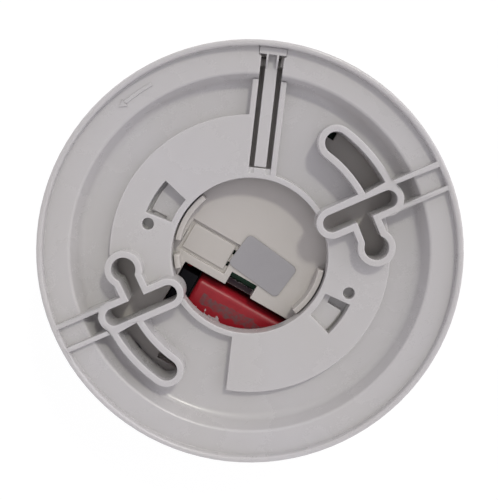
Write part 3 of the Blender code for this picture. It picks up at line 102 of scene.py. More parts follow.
# Raised arrow and laid strip of painted shade: how far they sink in, and a triangle in a circle of radius 1
SUNK = 0.00006
ARROW_STEPS = 12
ARROW_LAP = math.radians(0.2)
TRIANGLE_CORNERS = 3
TRIANGLE_HEIGHT = 1.5
TRIANGLE_WIDTH = math.sqrt(3.0)

# Stage
NEAREST_SEEN = 0.001
FLOOR_GREY = (0.85, 0.85, 0.85)
FLOOR_GLOW = 1.05
WHITE = (1.0, 1.0, 1.0)
BLACK = (0.0, 0.0, 0.0)

# Middle of a noise that runs from 0 to 1
MIDDLE = 0.5


def length(name, description, default):
    """A size in metres that a user may change."""
    return FloatProperty(name=name, description=description, default=default, unit="LENGTH", precision=5)


def angle(name, description, degrees):
    """An angle that a user may change."""
    return FloatProperty(name=name, description=description, default=math.radians(degrees), subtype="ANGLE")


def amount(name, description, default):
    """A plain number that a user may change."""
    return FloatProperty(name=name, description=description, default=default, min=0.0, soft_max=4.0)


def colour(name, description, default):
    """A linear colour that a user may change."""
    return FloatVectorProperty(
        name=name, description=description, default=default, size=3, subtype="COLOR", min=0.0, max=1.0
    )


class AlarmSizes(bpy.types.PropertyGroup):
    """Sizes and places of rounded edges, the tongue's tab, the raised arrow and the dark strip that paints
    shade in the notch.
    """

    shell_round: length("Shell edges", "Round on the edges of the large mouldings", 0.00022)
    small_round: length("Small edges", "Round on the edges of small pieces", 0.00012)
    dish_round: length("Dish top edge", "Round on the top of the dish's sloping wall", 0.00060)
    foot_round: length("Dish foot edge", "Round on the foot of the dish's sloping wall", 0.00160)
    dish_top: length("Dish top", "Radius of the top of the dish's sloping wall", 0.04530)
    dish_top_height: length("Dish top height", "Height of the top of the dish's sloping wall", -0.00200)
    dish_foot: length("Dish foot", "Radius of the foot of the dish's sloping wall", 0.04350)
    dish_foot_height: length("Dish foot height", "Height of the foot of the dish's sloping wall", -0.00700)
    button_round: length("Button edge", "Round on the test button's face", 0.00040)
    battery_round: length("Battery edge", "Round on the battery's edges", 0.00120)
    case_turn: angle("Case turn", "Turn of the case's own axes from the frame's X axis", -53.5)
    tongue_turn: angle("Tongue turn", "Turn of the tongue's own axis from the frame's X axis", 60.0)
    tab_start: length("Tab start", "Distance from the axis at which the tongue's tab starts", 0.04980)
    tab_half: length("Tab half width", "Half width beyond which only the tab lies", 0.00250)
    tab_growth: length("Tab growth", "Growth of the tab into the clearance round it", 0.00028)
    arrow_radius: length("Arrow radius", "Middle of the arrow on the rim's flat", 0.04895)
    arrow_width: length("Arrow width", "Width of the arrow's shaft", 0.00090)
    arrow_head: length("Arrow head", "Width of the arrow's head", 0.00225)
    arrow_height: length("Arrow height", "Rise of the arrow above the flat", 0.00030)
    arrow_start: angle("Arrow start", "Where the shaft starts", 95.6)
    arrow_neck: angle("Arrow neck", "Where the shaft meets the head", 105.0)
    arrow_tip: angle("Arrow tip", "Where the head ends", 107.1)
    # The notch strip is a dark sheet that paints the shade on the tray wall's top.
    strip_along: length("Strip along", "Middle of the notch strip along the case's X axis", 0.00230)
    strip_across: length("Strip across", "Middle of the notch strip along the case's Y axis", -0.00970)
    strip_length: length("Strip length", "Length of the notch strip", 0.00740)
    strip_width: length("Strip width", "Width of the notch strip", 0.00140)
    strip_height: length("Strip height", "Rise of the notch strip above the tray wall", 0.00010)


class AlarmColours(bpy.types.PropertyGroup):
    """Colours of the finishes."""

    bracket: colour("Bracket", "Moulded plastic of the bracket", (0.542, 0.532, 0.534))
    bracket_warm: colour("Bracket, aged", "Slightly yellowed patches of the bracket", (0.527, 0.515, 0.502))
    case: colour("Case", "Moulded plastic of the alarm's case", (0.545, 0.521, 0.500))
    case_warm: colour("Case, aged", "Slightly yellowed patches of the case", (0.525, 0.500, 0.465))
    button: colour("Button", "Moulded plastic of the test button", (0.480, 0.470, 0.460))
    battery: colour("Battery", "Printed jacket of the battery", (0.360, 0.010, 0.020))
    battery_band: colour("Battery band", "Mottled band along the battery", (0.060, 0.050, 0.052))
    label: colour("Label", "Foil sticker", (0.282, 0.274, 0.284))
    board: colour("Board", "Solder resist", (0.008, 0.034, 0.017))
    track: colour("Track", "Copper under the solder resist", (0.014, 0.060, 0.030))
    black: colour("Black", "Black plastic and vinyl", (0.004, 0.004, 0.006))
    # Painted shade: the dark colour of the strip laid on the notch's tray wall.
    strip: colour("Strip", "Dark strip in the notch", (0.060, 0.042, 0.048))
    sleeve: colour("Sleeve", "Shrink sleeve of the capacitor", (0.020, 0.030, 0.080))
    ferrite: colour("Ferrite", "Core of the coil", (0.050, 0.048, 0.046))
    ceramic: colour("Ceramic", "Silvered ceramic of the sounder", (0.700, 0.700, 0.680))
    brass: colour("Brass", "Disc and contacts of the sounder", (0.700, 0.500, 0.200))
    steel: colour("Steel", "Plated screws and terminals", (0.600, 0.600, 0.600))
    lamp: colour("Lamp", "Tinted epoxy of the status lamp", (0.500, 0.020, 0.020))
    diode: colour("Diode", "Dark epoxy of the chamber's diodes", (0.030, 0.020, 0.050))
    pipe: colour("Light pipe", "Clear acrylic", (0.800, 0.810, 0.820))
    lead: colour("Red lead", "Insulation of the positive lead", (0.400, 0.012, 0.012))


class AlarmStage(bpy.types.PropertyGroup):
    """Camera, light and floor."""

    camera_place: FloatVectorProperty(
        name="Camera place",
        description="Where the camera stands",
        default=(0.01237, 0.02539, 0.18952),
        size=3,
        subtype="TRANSLATION",
        unit="LENGTH",
    )
    camera_turn: FloatVectorProperty(
        name="Camera turn",
        description="Turns of the camera about X, Y and Z",
        default=(math.radians(-7.80), math.radians(0.410), math.radians(-23.490)),
        size=3,
        subtype="EULER",
    )
    camera_lens: FloatProperty(
        name="Lens",
        description="Focal length in millimetres on a 36 mm wide sensor",
        default=55.80,
        min=1.0,
    )
    lamp_direction: angle("Lamp direction", "Where the main light stands, turned from X", 38.0)
    lamp_height: angle("Lamp height", "Height of the main light above the floor", 51.0)
    lamp_width: angle("Lamp width", "How wide the main light looks from the alarm", 6.0)
    lamp_level: amount("Lamp level", "Strength of the main light", 0.90)
    low_direction: angle("Side lamp direction", "Where the low side light stands, turned from X", 2.0)
    low_height: angle("Side lamp height", "Height of the low side light above the floor", 18.0)
    low_width: angle("Side lamp width", "How wide the low side light looks from the alarm", 60.0)
    low_level: amount("Side lamp level", "Strength of the low side light", 0.72)
    sky_level: amount("Sky level", "Strength of the light from straight above", 0.58)
    side_level: amount("Side level", "Strength of the light from the sides", 0.76)
    lamp_colour: colour("Lamp colour", "Colour of the main light", (1.0, 0.99, 0.88))
    sky_colour: colour("Sky colour", "Colour of the light from all round", (0.960, 0.930, 1.0))
    floor_size: length("Floor", "Width of the floor", 3.0)
    floor_white: amount("Floor white", "Share of plain white in the floor that the camera sees", 0.90)


def sizes():
    """The sizes set in this scene."""
    return bpy.context.scene.alarm_sizes


def colours():
    """The colours set in this scene."""
    return bpy.context.scene.alarm_colours


def stage():
    """The stage values set in this scene."""
    return bpy.context.scene.alarm_stage


class Wire:
    """An output socket of a node. Sums on it add Math nodes."""

    def __init__(self, finish, socket):
        self.finish = finish
        self.socket = socket

    def math(self, operation, *values):
        """A Math node on some values."""
        return self.finish.node("ShaderNodeMath", {"operation": operation}, dict(enumerate(values)))

    def __add__(self, other):
        return self.math("ADD", self, other)

    def __radd__(self, other):
        return self.math("ADD", other, self)

    def __sub__(self, other):
        return self.math("SUBTRACT", self, other)

    def __rsub__(self, other):
        return self.math("SUBTRACT", other, self)

    def __mul__(self, other):
        return self.math("MULTIPLY", self, other)

    def __rmul__(self, other):
        return self.math("MULTIPLY", other, self)

    def __gt__(self, other):
        return self.math("GREATER_THAN", self, other)

    def __lt__(self, other):
        return self.math("LESS_THAN", self, other)

    def __abs__(self):
        return self.math("ABSOLUTE", self)

    def larger(self, other):
        """The larger of two values."""
        return self.math("MAXIMUM", self, other)

    def swing(self, by):
        """A noise turned into a change to both sides of nothing."""
        return (self - MIDDLE) * by


class Finish:
    """A node tree and the nodes that are added to it."""

    def __init__(self, tree):
        self.tree = tree

    def node(self, kind, settings=None, sockets=None, output=0):
        """Any node: its type, its settings, which are set first, and the values or links of its sockets."""
        made = self.tree.nodes.new(kind)
        for key, value in (settings or {}).items():
            setattr(made, key, value)
        for key, value in (sockets or {}).items():
            self.join(value, self.pick(made.inputs, key))
        return Wire(self, self.pick(made.outputs, output))

    def pick(self, sockets, key):
        """A socket by its place, or by its name among those in use."""
        if isinstance(key, str):
            named = [socket for socket in sockets if socket.enabled and socket.name.lower() == key.lower()]
            return named[0]
        return sockets[key]

    def join(self, value, socket):
        """Link a wire to a socket, or set a plain value on it."""
        if isinstance(value, Wire):
            self.tree.links.new(value.socket, socket)
        elif socket.type == "RGBA":
            socket.default_value = (*value[:3], 1.0)
        else:
            socket.default_value = value

    def split(self, where, axis):
        """One axis of a place."""
        return self.node("ShaderNodeSeparateXYZ", None, {"Vector": where}, output=axis)

    def place(self, turn=0.0, stretch=(1.0, 1.0, 1.0)):
        """Object coordinates, turned about Z and stretched."""
        where = self.node("ShaderNodeTexCoord", output="Object")
        return self.node(
            "ShaderNodeMapping", None, {"Vector": where, "Rotation": (0.0, 0.0, turn), "Scale": stretch}
        )

    def noise(self, scale, detail=2.0, where=None):
        """Soft noise from 0 to 1, so many lumps to the metre."""
        where = where or self.node("ShaderNodeTexCoord", output="Object")
        return self.node("ShaderNodeTexNoise", None, {"Vector": where, "Scale": scale, "Detail": detail})

    def ramp(self, value, low, high, least=0.0):
        """A value spread out: the least at one place, 1 at a higher place."""
        spread = self.node("ShaderNodeValToRGB", None, {"Fac": value})
        first, last = spread.socket.node.color_ramp.elements
        first.color = (least, least, least, 1.0)
        first.position = low
        last.position = high
        return spread

    def patches(self, scale, detail, low, high, where=None):
        """Noise with clear borders: 0 below one value, 1 above another."""
        return self.ramp(self.noise(scale, detail, where), low, high)

    def mix(self, share, first, second):
        """A mix of two colours."""
        sockets = {"Factor": share, "A": first, "B": second}
        return self.node("ShaderNodeMix", {"data_type": "RGBA"}, sockets, output="Result")

    def bump(self, height, depth, strength):
        """A surface normal from heights."""
        sockets = {"Height": height, "Distance": depth, "Strength": strength}
        return self.node("ShaderNodeBump", None, sockets)


class Surface(Finish):
    """A material with one Principled shader."""

    def __init__(self, name, **values):
        self.material = bpy.data.materials.new(name)
        self.material.use_nodes = True
        super().__init__(self.material.node_tree)
        self.shader = self.tree.nodes["Principled BSDF"]
        self.set(**values)

    def set(self, **values):
        """Set or link shader sockets, with an underscore for each space in a name."""
        for key, value in values.items():
            self.join(value, self.pick(self.shader.inputs, key.replace("_", " ")))
        return self


def shade(base, share):
    """A colour made darker or paler."""
    return tuple(share * part for part in base)


def moulded(name, fresh, aged, roughness, grain_depth):
    """Moulded plastic: faint yellowing in large clouds, rubbed patches, fine scratches and a fine grain."""
    speck_share = 0.18
    scratch_shine = 0.07
    scratch_depth = 0.4
    surface = Surface(
        name, subsurface_weight=0.5, subsurface_scale=0.0015, subsurface_radius=(1.0, 0.97, 1.0)
    )
    clouds = surface.patches(scale=22.0, detail=3.0, low=0.35, high=0.70)
    specks = surface.patches(scale=900.0, detail=2.0, low=0.70, high=0.80)
    rubbed = surface.patches(scale=60.0, detail=4.0, low=0.45, high=0.65)
    along = surface.place(turn=math.radians(20.0), stretch=(1.0, 14.0, 1.0))
    scratches = surface.patches(scale=220.0, detail=2.0, low=0.68, high=0.74, where=along)
    grain = surface.noise(scale=2600.0)
    dust = shade(fresh, share=0.88)
    base = surface.mix(specks * speck_share, surface.mix(clouds, fresh, aged), dust)
    shine = roughness + rubbed.swing(by=0.08) - scratches * scratch_shine + grain.swing(by=0.06)
    normal = surface.bump(grain - scratches * scratch_depth, depth=grain_depth, strength=0.6)
    return surface.set(base_color=base, roughness=shine, normal=normal).material


def dull_plastic(name, base, roughness):
    """Dull plastic or vinyl with a matt grain and a trace of dust."""
    dust_rise = 0.006
    dust_share = 0.5
    surface = Surface(name, specular_ior_level=0.13)
    dust = surface.patches(scale=300.0, detail=4.0, low=0.50, high=0.80)
    grain = surface.noise(scale=1800.0, detail=3.0)
    dusty = tuple(part + dust_rise for part in base)
    tone = surface.mix(dust * dust_share, base, dusty)
    shine = roughness + grain.swing(by=0.15)
    normal = surface.bump(grain, depth=0.00002, strength=0.5)
    return surface.set(base_color=tone, roughness=shine, normal=normal).material


def bare_metal(name, base, roughness):
    """Plated or bare metal with drawn lines and dull patches."""
    dull_share = 0.6
    dull_shine = 0.18
    surface = Surface(name, metallic=1.0)
    lines = surface.noise(scale=700.0, where=surface.place(stretch=(1.0, 1.0, 12.0)))
    dull = surface.patches(scale=180.0, detail=3.0, low=0.40, high=0.75)
    tone = surface.mix(dull * dull_share, base, shade(base, share=0.62))
    shine = roughness + dull * dull_shine + lines.swing(by=0.12)
    normal = surface.bump(lines, depth=0.00001, strength=0.4)
    return surface.set(base_color=tone, roughness=shine, normal=normal).material


def mineral(name, base, roughness):
    """Sintered or fired material: speckled and matt."""
    surface = Surface(name)
    specks = surface.patches(scale=1500.0, detail=3.0, low=0.42, high=0.62)
    tone = surface.mix(specks, shade(base, share=0.7), base)
    shine = roughness + specks.swing(by=0.12)
    normal = surface.bump(specks, depth=0.00002, strength=0.4)
    return surface.set(base_color=tone, roughness=shine, normal=normal).material


def tinted(name, base, through):
    """Clear or tinted resin with faint flow lines."""
    least_rough = 0.08
    flow_rough = 0.10
    surface = Surface(name, transmission_weight=through)
    flow = surface.noise(scale=260.0, where=surface.place(stretch=(1.0, 1.0, 0.3)))
    tone = surface.mix(flow, base, shade(base, share=0.75))
    return surface.set(base_color=tone, roughness=least_rough + flow * flow_rough).material


def battery_jacket(name):
    """Printed steel: red, with a mottled grey band and a torn pale edge on top and bare steel end faces."""
    # Sizes of the print, in metres
    rag_depth = 0.0030
    top_depth = 0.0004
    band_inset = 0.0053
    band_half = 0.0014
    band_start = 0.0030
    torn_inset = 0.0082
    crimp_depth = 0.0001
    # Shares of the wear in colour, shine and coat
    torn_rag = 1.5
    mottle_share = 0.5
    worn_share = 0.2
    band_share = 0.75
    torn_share = 0.8
    least_rough = 0.36
    worn_rough = 0.12
    band_rough = 0.12
    coat = 0.15

    tint = colours()
    surface = Surface(name, coat_roughness=0.30, specular_ior_level=0.3)
    low, high = case_box("battery_body")
    where = surface.place(turn=-sizes().case_turn)
    along = surface.split(where, "X")
    across = surface.split(where, "Y")
    up = surface.split(where, "Z")
    rag = surface.noise(scale=420.0, detail=4.0).swing(by=rag_depth)
    top = up > high.z - top_depth
    off_band = abs(across - (high.y - band_inset) + rag)
    band = (off_band < band_half) * top * (along > low.x + band_start)
    torn = (across + rag * torn_rag < high.y - torn_inset) * top
    crimp = (along < low.x + crimp_depth) + (along > high.x - crimp_depth)
    mottle = surface.noise(scale=900.0, detail=4.0)
    blots = surface.ramp(mottle, low=0.42, high=0.58, least=0.45)
    worn = surface.patches(scale=160.0, detail=5.0, low=0.52, high=0.72)
    dark_red = shade(tint.battery, share=0.5)
    pale_grey = shade(tint.battery_band, share=1.7)
    red = surface.mix(mottle * mottle_share + worn * worn_share, tint.battery, dark_red)
    grey = surface.mix(mottle, tint.battery_band, pale_grey)
    banded = surface.mix(band * blots * band_share, red, grey)
    printed = surface.mix(torn * torn_share, banded, tint.bracket)
    return surface.set(
        base_color=surface.mix(crimp, printed, tint.steel),
        roughness=least_rough + worn * worn_rough + band * band_rough,
        metallic=crimp,
        coat_weight=coat - crimp * coat,
        normal=surface.bump(mottle, depth=0.00002, strength=0.35),
    ).material


def foil_label(name):
    """Silver-grey foil sticker, bare, with a faint brushed grain."""
    cloud_share = 0.7
    brush_share = 0.3
    roughness = 0.42
    tint = colours()
    surface = Surface(name, metallic=0.15)
    along = surface.place(turn=-sizes().case_turn, stretch=(0.15, 1.0, 1.0))
    brushed = surface.noise(scale=1100.0, where=along)
    clouds = surface.noise(scale=120.0)
    pale = shade(tint.label, share=1.18)
    tone = surface.mix(clouds * cloud_share + brushed * brush_share, tint.label, pale)
    shine = roughness + brushed.swing(by=0.12)
    normal = surface.bump(brushed, depth=0.00001, strength=0.3)
    return surface.set(base_color=tone, roughness=shine, normal=normal).material


def solder_resist(name):
    """Green board: copper tracks show a little lighter through the resist."""
    roughness = 0.32
    tint = colours()
    surface = Surface(name, specular_ior_level=0.13)
    tracks = surface.node(
        "ShaderNodeTexBrick",
        {"offset": 0.37},
        {
            "Vector": surface.place(turn=-sizes().case_turn),
            "Color1": BLACK,
            "Color2": BLACK,
            "Mortar": WHITE,
            "Scale": 90.0,
            "Mortar Size": 0.06,
            "Brick Width": 0.9,
            "Row Height": 0.22,
        },
    )
    weave = surface.noise(scale=1500.0)
    tone = surface.mix(tracks, tint.board, tint.track)
    shine = roughness + weave.swing(by=0.10)
    normal = surface.bump(tracks, depth=0.00003, strength=0.5)
    return surface.set(base_color=tone, roughness=shine, normal=normal).material


def make_finishes():
    """One material for each of the record's material slots."""
    tint = colours()
    bracket_white = moulded(
        "bracket_white_moulded", tint.bracket, tint.bracket_warm, roughness=0.30, grain_depth=0.000012
    )
    case_white = moulded(
        "case_white_moulded", tint.case, tint.case_warm, roughness=0.48, grain_depth=0.000030
    )
    button_white = moulded(
        "button_white_moulded", tint.button, tint.bracket_warm, roughness=0.36, grain_depth=0.000010
    )
    return {
        "bracket_white": bracket_white,
        "case_white": case_white,
        "button_white": button_white,
        "board_green": solder_resist("board_green_resist"),
        "battery_red": battery_jacket("battery_red_jacket"),
        "black_vinyl": dull_plastic("black_vinyl_soft", tint.black, roughness=0.62),
        "switch_black": dull_plastic("switch_black_moulded", tint.black, roughness=0.48),
        "chamber_black": dull_plastic("chamber_black_matt", tint.black, roughness=0.75),
        "capacitor_sleeve": dull_plastic("capacitor_sleeve_shrunk", tint.sleeve, roughness=0.30),
        "ferrite": mineral("ferrite_sintered", tint.ferrite, roughness=0.60),
        "label_grey": foil_label("label_grey_foil"),
        "lead_red": dull_plastic("lead_red_insulation", tint.lead, roughness=0.45),
        "lead_black": dull_plastic("lead_black_insulation", tint.black, roughness=0.45),
        "clear_pipe": tinted("clear_pipe_acrylic", tint.pipe, through=0.85),
        "lamp_red": tinted("lamp_red_epoxy", tint.lamp, through=0.60),
        "smoked_diode": tinted("smoked_diode_epoxy", tint.diode, through=0.30),
        "brass": bare_metal("brass_bare", tint.brass, roughness=0.28),
        "plated_steel": bare_metal("plated_steel_zinc", tint.steel, roughness=0.26),
        "steel_mesh": bare_metal("steel_mesh_bare", tint.steel, roughness=0.34),
        "ceramic": mineral("ceramic_fired", tint.ceramic, roughness=0.40),
    }


FINISHES = {}


def finish_for(node):
    """The material of a node's slot, made on first use."""
    if not FINISHES:
        FINISHES.update(make_finishes())
    return FINISHES[SLOT_OF[node]]


def case_box(node):
    """Lowest and highest corners of a node in the case's own axes."""
    back = Matrix.Rotation(-sizes().case_turn, 3, "Z")
    points = [back @ vertex.co for vertex in frame["nodes"][node].data.vertices]
    low = Vector([min(point[axis] for point in points) for axis in range(3)])
    high = Vector([max(point[axis] for point in points) for axis in range(3)])
    return low, high


def merged(node):
    """A copy of a CAD node with doubled points joined, short edges closed and flats cut afresh."""
    shape = bmesh.new()
    shape.from_mesh(frame["nodes"][node].data)
    bmesh.ops.remove_doubles(shape, verts=shape.verts, dist=WELD)
    bmesh.ops.dissolve_limit(shape, angle_limit=FLAT_ANGLE, verts=shape.verts, edges=shape.edges)
    short = [v for v in shape.verts if any(edge.calc_length() < SHORT_EDGE for edge in v.link_edges)]
    bmesh.ops.remove_doubles(shape, verts=short, dist=SHORT_EDGE)
    bmesh.ops.dissolve_degenerate(shape, dist=WELD, edges=shape.edges)
    bmesh.ops.triangulate(shape, faces=shape.faces, quad_method="BEAUTY", ngon_method="BEAUTY")
    return shape


def height_at(node, spot):
    """Height of the uppermost face of a CAD node at a spot."""
    above = Vector((spot.x, spot.y, CAD_HIGHEST + SHORT_EDGE))
    shape = merged(node)
    place = BVHTree.FromBMesh(shape).ray_cast(above, Vector((0.0, 0.0, -1.0)))[0]
    shape.free()
    if place is None:
        raise RuntimeError(f"no face of {node} was found at the spot")
    return place.z


def is_sharp(edge):
    """An edge between two faces that meet at a clear angle."""
    return edge.is_manifold and edge.calc_face_angle() > SHARP_ANGLE


def is_ring(edge, radius, height):
    """A sharp edge along a ring about the alarm's axis."""
    round_axis = all(abs(end.co.xy.length - radius) < SHORT_EDGE for end in edge.verts)
    level = all(abs(end.co.z - height) < WELD for end in edge.verts)
    return round_axis and level and is_sharp(edge)


def is_dish_top(edge):
    """An edge along the top of the dish's sloping wall."""
    return is_ring(edge, sizes().dish_top, sizes().dish_top_height)


def is_dish_foot(edge):
    """An edge along the foot of the dish's sloping wall."""
    return is_ring(edge, sizes().dish_foot, sizes().dish_foot_height)


def round_edges(shape, edges, radius, steps=ROUND_STEPS):
    """Round some edges of a shape."""
    bmesh.ops.bevel(
        shape,
        geom=edges,
        offset=radius,
        offset_type="OFFSET",
        affect="EDGES",
        segments=steps,
        profile=ROUND_PROFILE,
        material=-1,
        clamp_overlap=False,
        loop_slide=False,
    )


def round_all(shape, radius, chosen=is_sharp, steps=ROUND_STEPS):
    """Round the chosen edges of a shape and draw stray points back to where its surface was."""
    skin = BVHTree.FromBMesh(shape)
    round_edges(shape, [edge for edge in shape.edges if chosen(edge)], radius, steps)
    for vertex in shape.verts:
        place, _normal, _face, distance = skin.find_nearest(vertex.co)
        if distance > radius * STRAY_SHARE:
            vertex.co = place
    return shape


def rounded(node, radius):
    """A merged copy of a CAD node with all its sharp edges rounded."""
    return round_all(merged(node), radius)


def new_piece(name, shape, body, finish):
    """A named object made from a shape, which rides on a body."""
    mesh = bpy.data.meshes.new(name)
    shape.to_mesh(mesh)
    shape.free()
    mesh.shade_smooth()
    mesh.set_sharp_from_angle(angle=SMOOTH_ANGLE)
    mesh.materials.append(finish)
    thing = bpy.data.objects.new(name, mesh)
    bpy.context.scene.collection.objects.link(thing)
    even = thing.modifiers.new("even_shading", "WEIGHTED_NORMAL")
    even.keep_sharp = True
    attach(thing, body)
    return thing


def dress(node, shape):
    """Put a finished shape in the place of a CAD node."""
    body = frame["nodes"][node]["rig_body"]
    thing = new_piece(f"{node}_finished", shape, body, finish_for(node))
    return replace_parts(thing, node)


def repaint(node):
    """Give a CAD node that stays its own finish."""
    frame["nodes"][node].material_slots[0].material = finish_for(node)


class ALARM_OT_bracket(bpy.types.Operator):
    """Round the ceiling bracket's edges, most of all the top and foot of its dish"""

    bl_idname = "alarm.bracket"
    bl_label = "Ceiling bracket"

    def execute(self, context):
        size = sizes()
        shape = round_all(merged("mounting_bracket"), size.dish_round, is_dish_top, CROWN_STEPS)
        shape = round_all(shape, size.foot_round, is_dish_foot, CROWN_STEPS)
        dress("mounting_bracket", round_all(shape, size.shell_round))
        return {"FINISHED"}


class ALARM_OT_arrow(bpy.types.Operator):
    """Raise the turning arrow on the flat of the bracket's rim"""

    bl_idname = "alarm.arrow"
    bl_label = "Turning arrow"

    def execute(self, context):
        size = sizes()
        turn = Matrix.Rotation((size.arrow_start + size.arrow_neck) / 2, 3, "Z")
        flat = height_at("mounting_bracket", turn @ Vector((size.arrow_radius, 0.0, 0.0)))
        low = flat - SUNK
        tall = size.arrow_height + SUNK
        shape = bmesh.new()
        draw_shaft(shape, low, tall)
        draw_head(shape, low, tall)
        bmesh.ops.recalc_face_normals(shape, faces=shape.faces)
        upper = [edge for edge in shape.edges if is_sharp(edge) and min(v.co.z for v in edge.verts) > flat]
        round_edges(shape, upper, size.small_round)
        node = "mounting_bracket"
        new_piece("turning_arrow", shape, "bracket", finish_for(node))
        return {"FINISHED"}


def draw_shaft(shape, low, tall):
    """The arrow's shaft: an upright square spun along the rim."""
    size = sizes()
    start = Matrix.Rotation(size.arrow_start, 4, "Z")
    middle = Matrix.Translation((size.arrow_radius, 0.0, low + tall / 2))
    upright = Matrix.Rotation(math.pi / 2, 4, "X")
    fit = Matrix.Diagonal((size.arrow_width, tall, 1.0, 1.0))
    bmesh.ops.create_grid(
        shape, x_segments=1, y_segments=1, size=0.5, matrix=start @ middle @ upright @ fit
    )
    bmesh.ops.spin(
        shape,
        geom=shape.verts[:] + shape.edges[:] + shape.faces[:],
        axis=(0.0, 0.0, 1.0),
        cent=(0.0, 0.0, 0.0),
        angle=size.arrow_neck - size.arrow_start + ARROW_LAP,
        steps=ARROW_STEPS,
    )


def draw_head(shape, low, tall):
    """The arrow's head: a triangle raised from just under the flat."""
    size = sizes()
    run = size.arrow_radius * (size.arrow_tip - size.arrow_neck) / TRIANGLE_HEIGHT
    spread = size.arrow_head / TRIANGLE_WIDTH
    neck = Matrix.Rotation(size.arrow_neck, 4, "Z")
    middle = Matrix.Translation((size.arrow_radius, run / 2, low))
    head = bmesh.ops.create_circle(
        shape,
        cap_ends=True,
        segments=TRIANGLE_CORNERS,
        radius=1.0,
        matrix=neck @ middle @ Matrix.Diagonal((spread, run, 1.0, 1.0)),
    )
    base = list({face for vertex in head["verts"] for face in vertex.link_faces})
    raised = bmesh.ops.extrude_face_region(shape, geom=base)["geom"]
    movers = [item for item in raised if isinstance(item, bmesh.types.BMVert)]
    bmesh.ops.translate(shape, verts=movers, vec=(0.0, 0.0, tall))


class ALARM_OT_tongue(bpy.types.Operator):
    """Round the release tongue's edges and grow its tab into the clearance"""

    bl_idname = "alarm.tongue"
    bl_label = "Release tongue"

    def execute(self, context):
        size = sizes()
        shape = merged("release_tongue")
        shape.transform(Matrix.Rotation(-size.tongue_turn, 4, "Z"))
        tip = max(vertex.co.x for vertex in shape.verts)
        for vertex in shape.verts:
            if vertex.co.x > tip - WELD:
                vertex.co.x += size.tab_growth
            if vertex.co.x > size.tab_start and abs(vertex.co.y) > size.tab_half:
                vertex.co.y += math.copysign(size.tab_growth, vertex.co.y)
        shape.transform(Matrix.Rotation(size.tongue_turn, 4, "Z"))
        dress("release_tongue", round_all(shape, size.small_round))
        return {"FINISHED"}


class ALARM_OT_case(bpy.types.Operator):
    """Round the edges of the rear housing and of the front cover"""

    bl_idname = "alarm.case"
    bl_label = "Case"

    def execute(self, context):
        dress("rear_housing", rounded("rear_housing", sizes().small_round))
        dress("front_cover", rounded("front_cover", sizes().shell_round))
        return {"FINISHED"}


class ALARM_OT_strip(bpy.types.Operator):
    """Lay a dark strip on the tray wall that shows in the notch: painted shade on the wall's top"""

    bl_idname = "alarm.strip"
    bl_label = "Notch strip"

    def execute(self, context):
        size = sizes()
        turn = Matrix.Rotation(size.case_turn, 4, "Z")
        spot = Vector((size.strip_along, size.strip_across, 0.0))
        low = height_at("rear_housing", turn @ spot) - SUNK
        tall = size.strip_height + SUNK
        middle = Matrix.Translation(spot + Vector((0.0, 0.0, low + tall / 2)))
        fit = Matrix.Diagonal((size.strip_length, size.strip_width, tall, 1.0))
        shape = bmesh.new()
        bmesh.ops.create_cube(shape, size=1.0, matrix=turn @ middle @ fit)
        round_edges(shape, shape.edges[:], size.strip_height * THIN_ROUND_SHARE)
        # The strip's dark finish is painted shade on the tray wall's top.
        finish = dull_plastic("notch_painted_shade_strip_brown", colours().strip, roughness=0.70)
        new_piece("notch_painted_shade_strip", shape, "alarm", finish)
        return {"FINISHED"}


class ALARM_OT_button(bpy.types.Operator):
    """Round the test button, its switch and the light pipe, and finish the lamp"""

    bl_idname = "alarm.button"
    bl_label = "Test button and lamp"

    def execute(self, context):
        shape = merged("test_button")
        face = min(vertex.co.z for vertex in shape.verts)
        sharp = [edge for edge in shape.edges if is_sharp(edge)]
        rim = [edge for edge in sharp if max(end.co.z for end in edge.verts) < face + WELD]
        round_edges(shape, rim, sizes().button_round, CROWN_STEPS)
        dress("test_button", shape)
        for node in ("switch_stem", "tact_switch", "light_pipe"):
            dress(node, rounded(node, sizes().small_round))
        repaint("status_led")
        return {"FINISHED"}


class ALARM_OT_battery(bpy.types.Operator):
    """Finish the battery, its terminals, its snap connector and its leads"""

    bl_idname = "alarm.battery"
    bl_label = "Battery"

    def execute(self, context):
        body = round_all(merged("battery_body"), sizes().battery_round, steps=CROWN_STEPS)
        dress("battery_body", body)
        dress("battery_snap", rounded("battery_snap", sizes().shell_round))
        for node in ("battery_terminal_positive", "battery_terminal_negative", "lead_header"):
            dress(node, rounded(node, sizes().small_round))
        for node in ("battery_lead_positive", "battery_lead_negative"):
            repaint(node)
        return {"FINISHED"}


class ALARM_OT_label(bpy.types.Operator):
    """Finish the bare foil sticker on the alarm's back"""

    bl_idname = "alarm.label"
    bl_label = "Label"

    def execute(self, context):
        dress("rating_label", rounded("rating_label", sizes().small_round * THIN_ROUND_SHARE))
        return {"FINISHED"}


class ALARM_OT_board(bpy.types.Operator):
    """Finish the circuit board and the parts soldered to it"""

    bl_idname = "alarm.board"
    bl_label = "Circuit board"

    def execute(self, context):
        for node in ("main_pcb", "supply_capacitor", "horn_coil", "controller_ic"):
            dress(node, rounded(node, sizes().small_round))
        return {"FINISHED"}


class ALARM_OT_screws(bpy.types.Operator):
    """Finish the case screws and the board screws"""

    bl_idname = "alarm.screws"
    bl_label = "Screws"

    def execute(self, context):
        for node in frame["nodes"]:
            if "_screw_" in node:
                dress(node, rounded(node, sizes().small_round))
        return {"FINISHED"}


class ALARM_OT_chamber(bpy.types.Operator):
    """Finish the smoke chamber, its screen and its two diodes"""

    bl_idname = "alarm.chamber"
    bl_label = "Smoke chamber"

    def execute(self, context):
        dress("chamber_base", rounded("chamber_base", sizes().small_round))
        for node in ("chamber_cover", "insect_screen", "ir_emitter", "photodiode"):
            repaint(node)
        return {"FINISHED"}


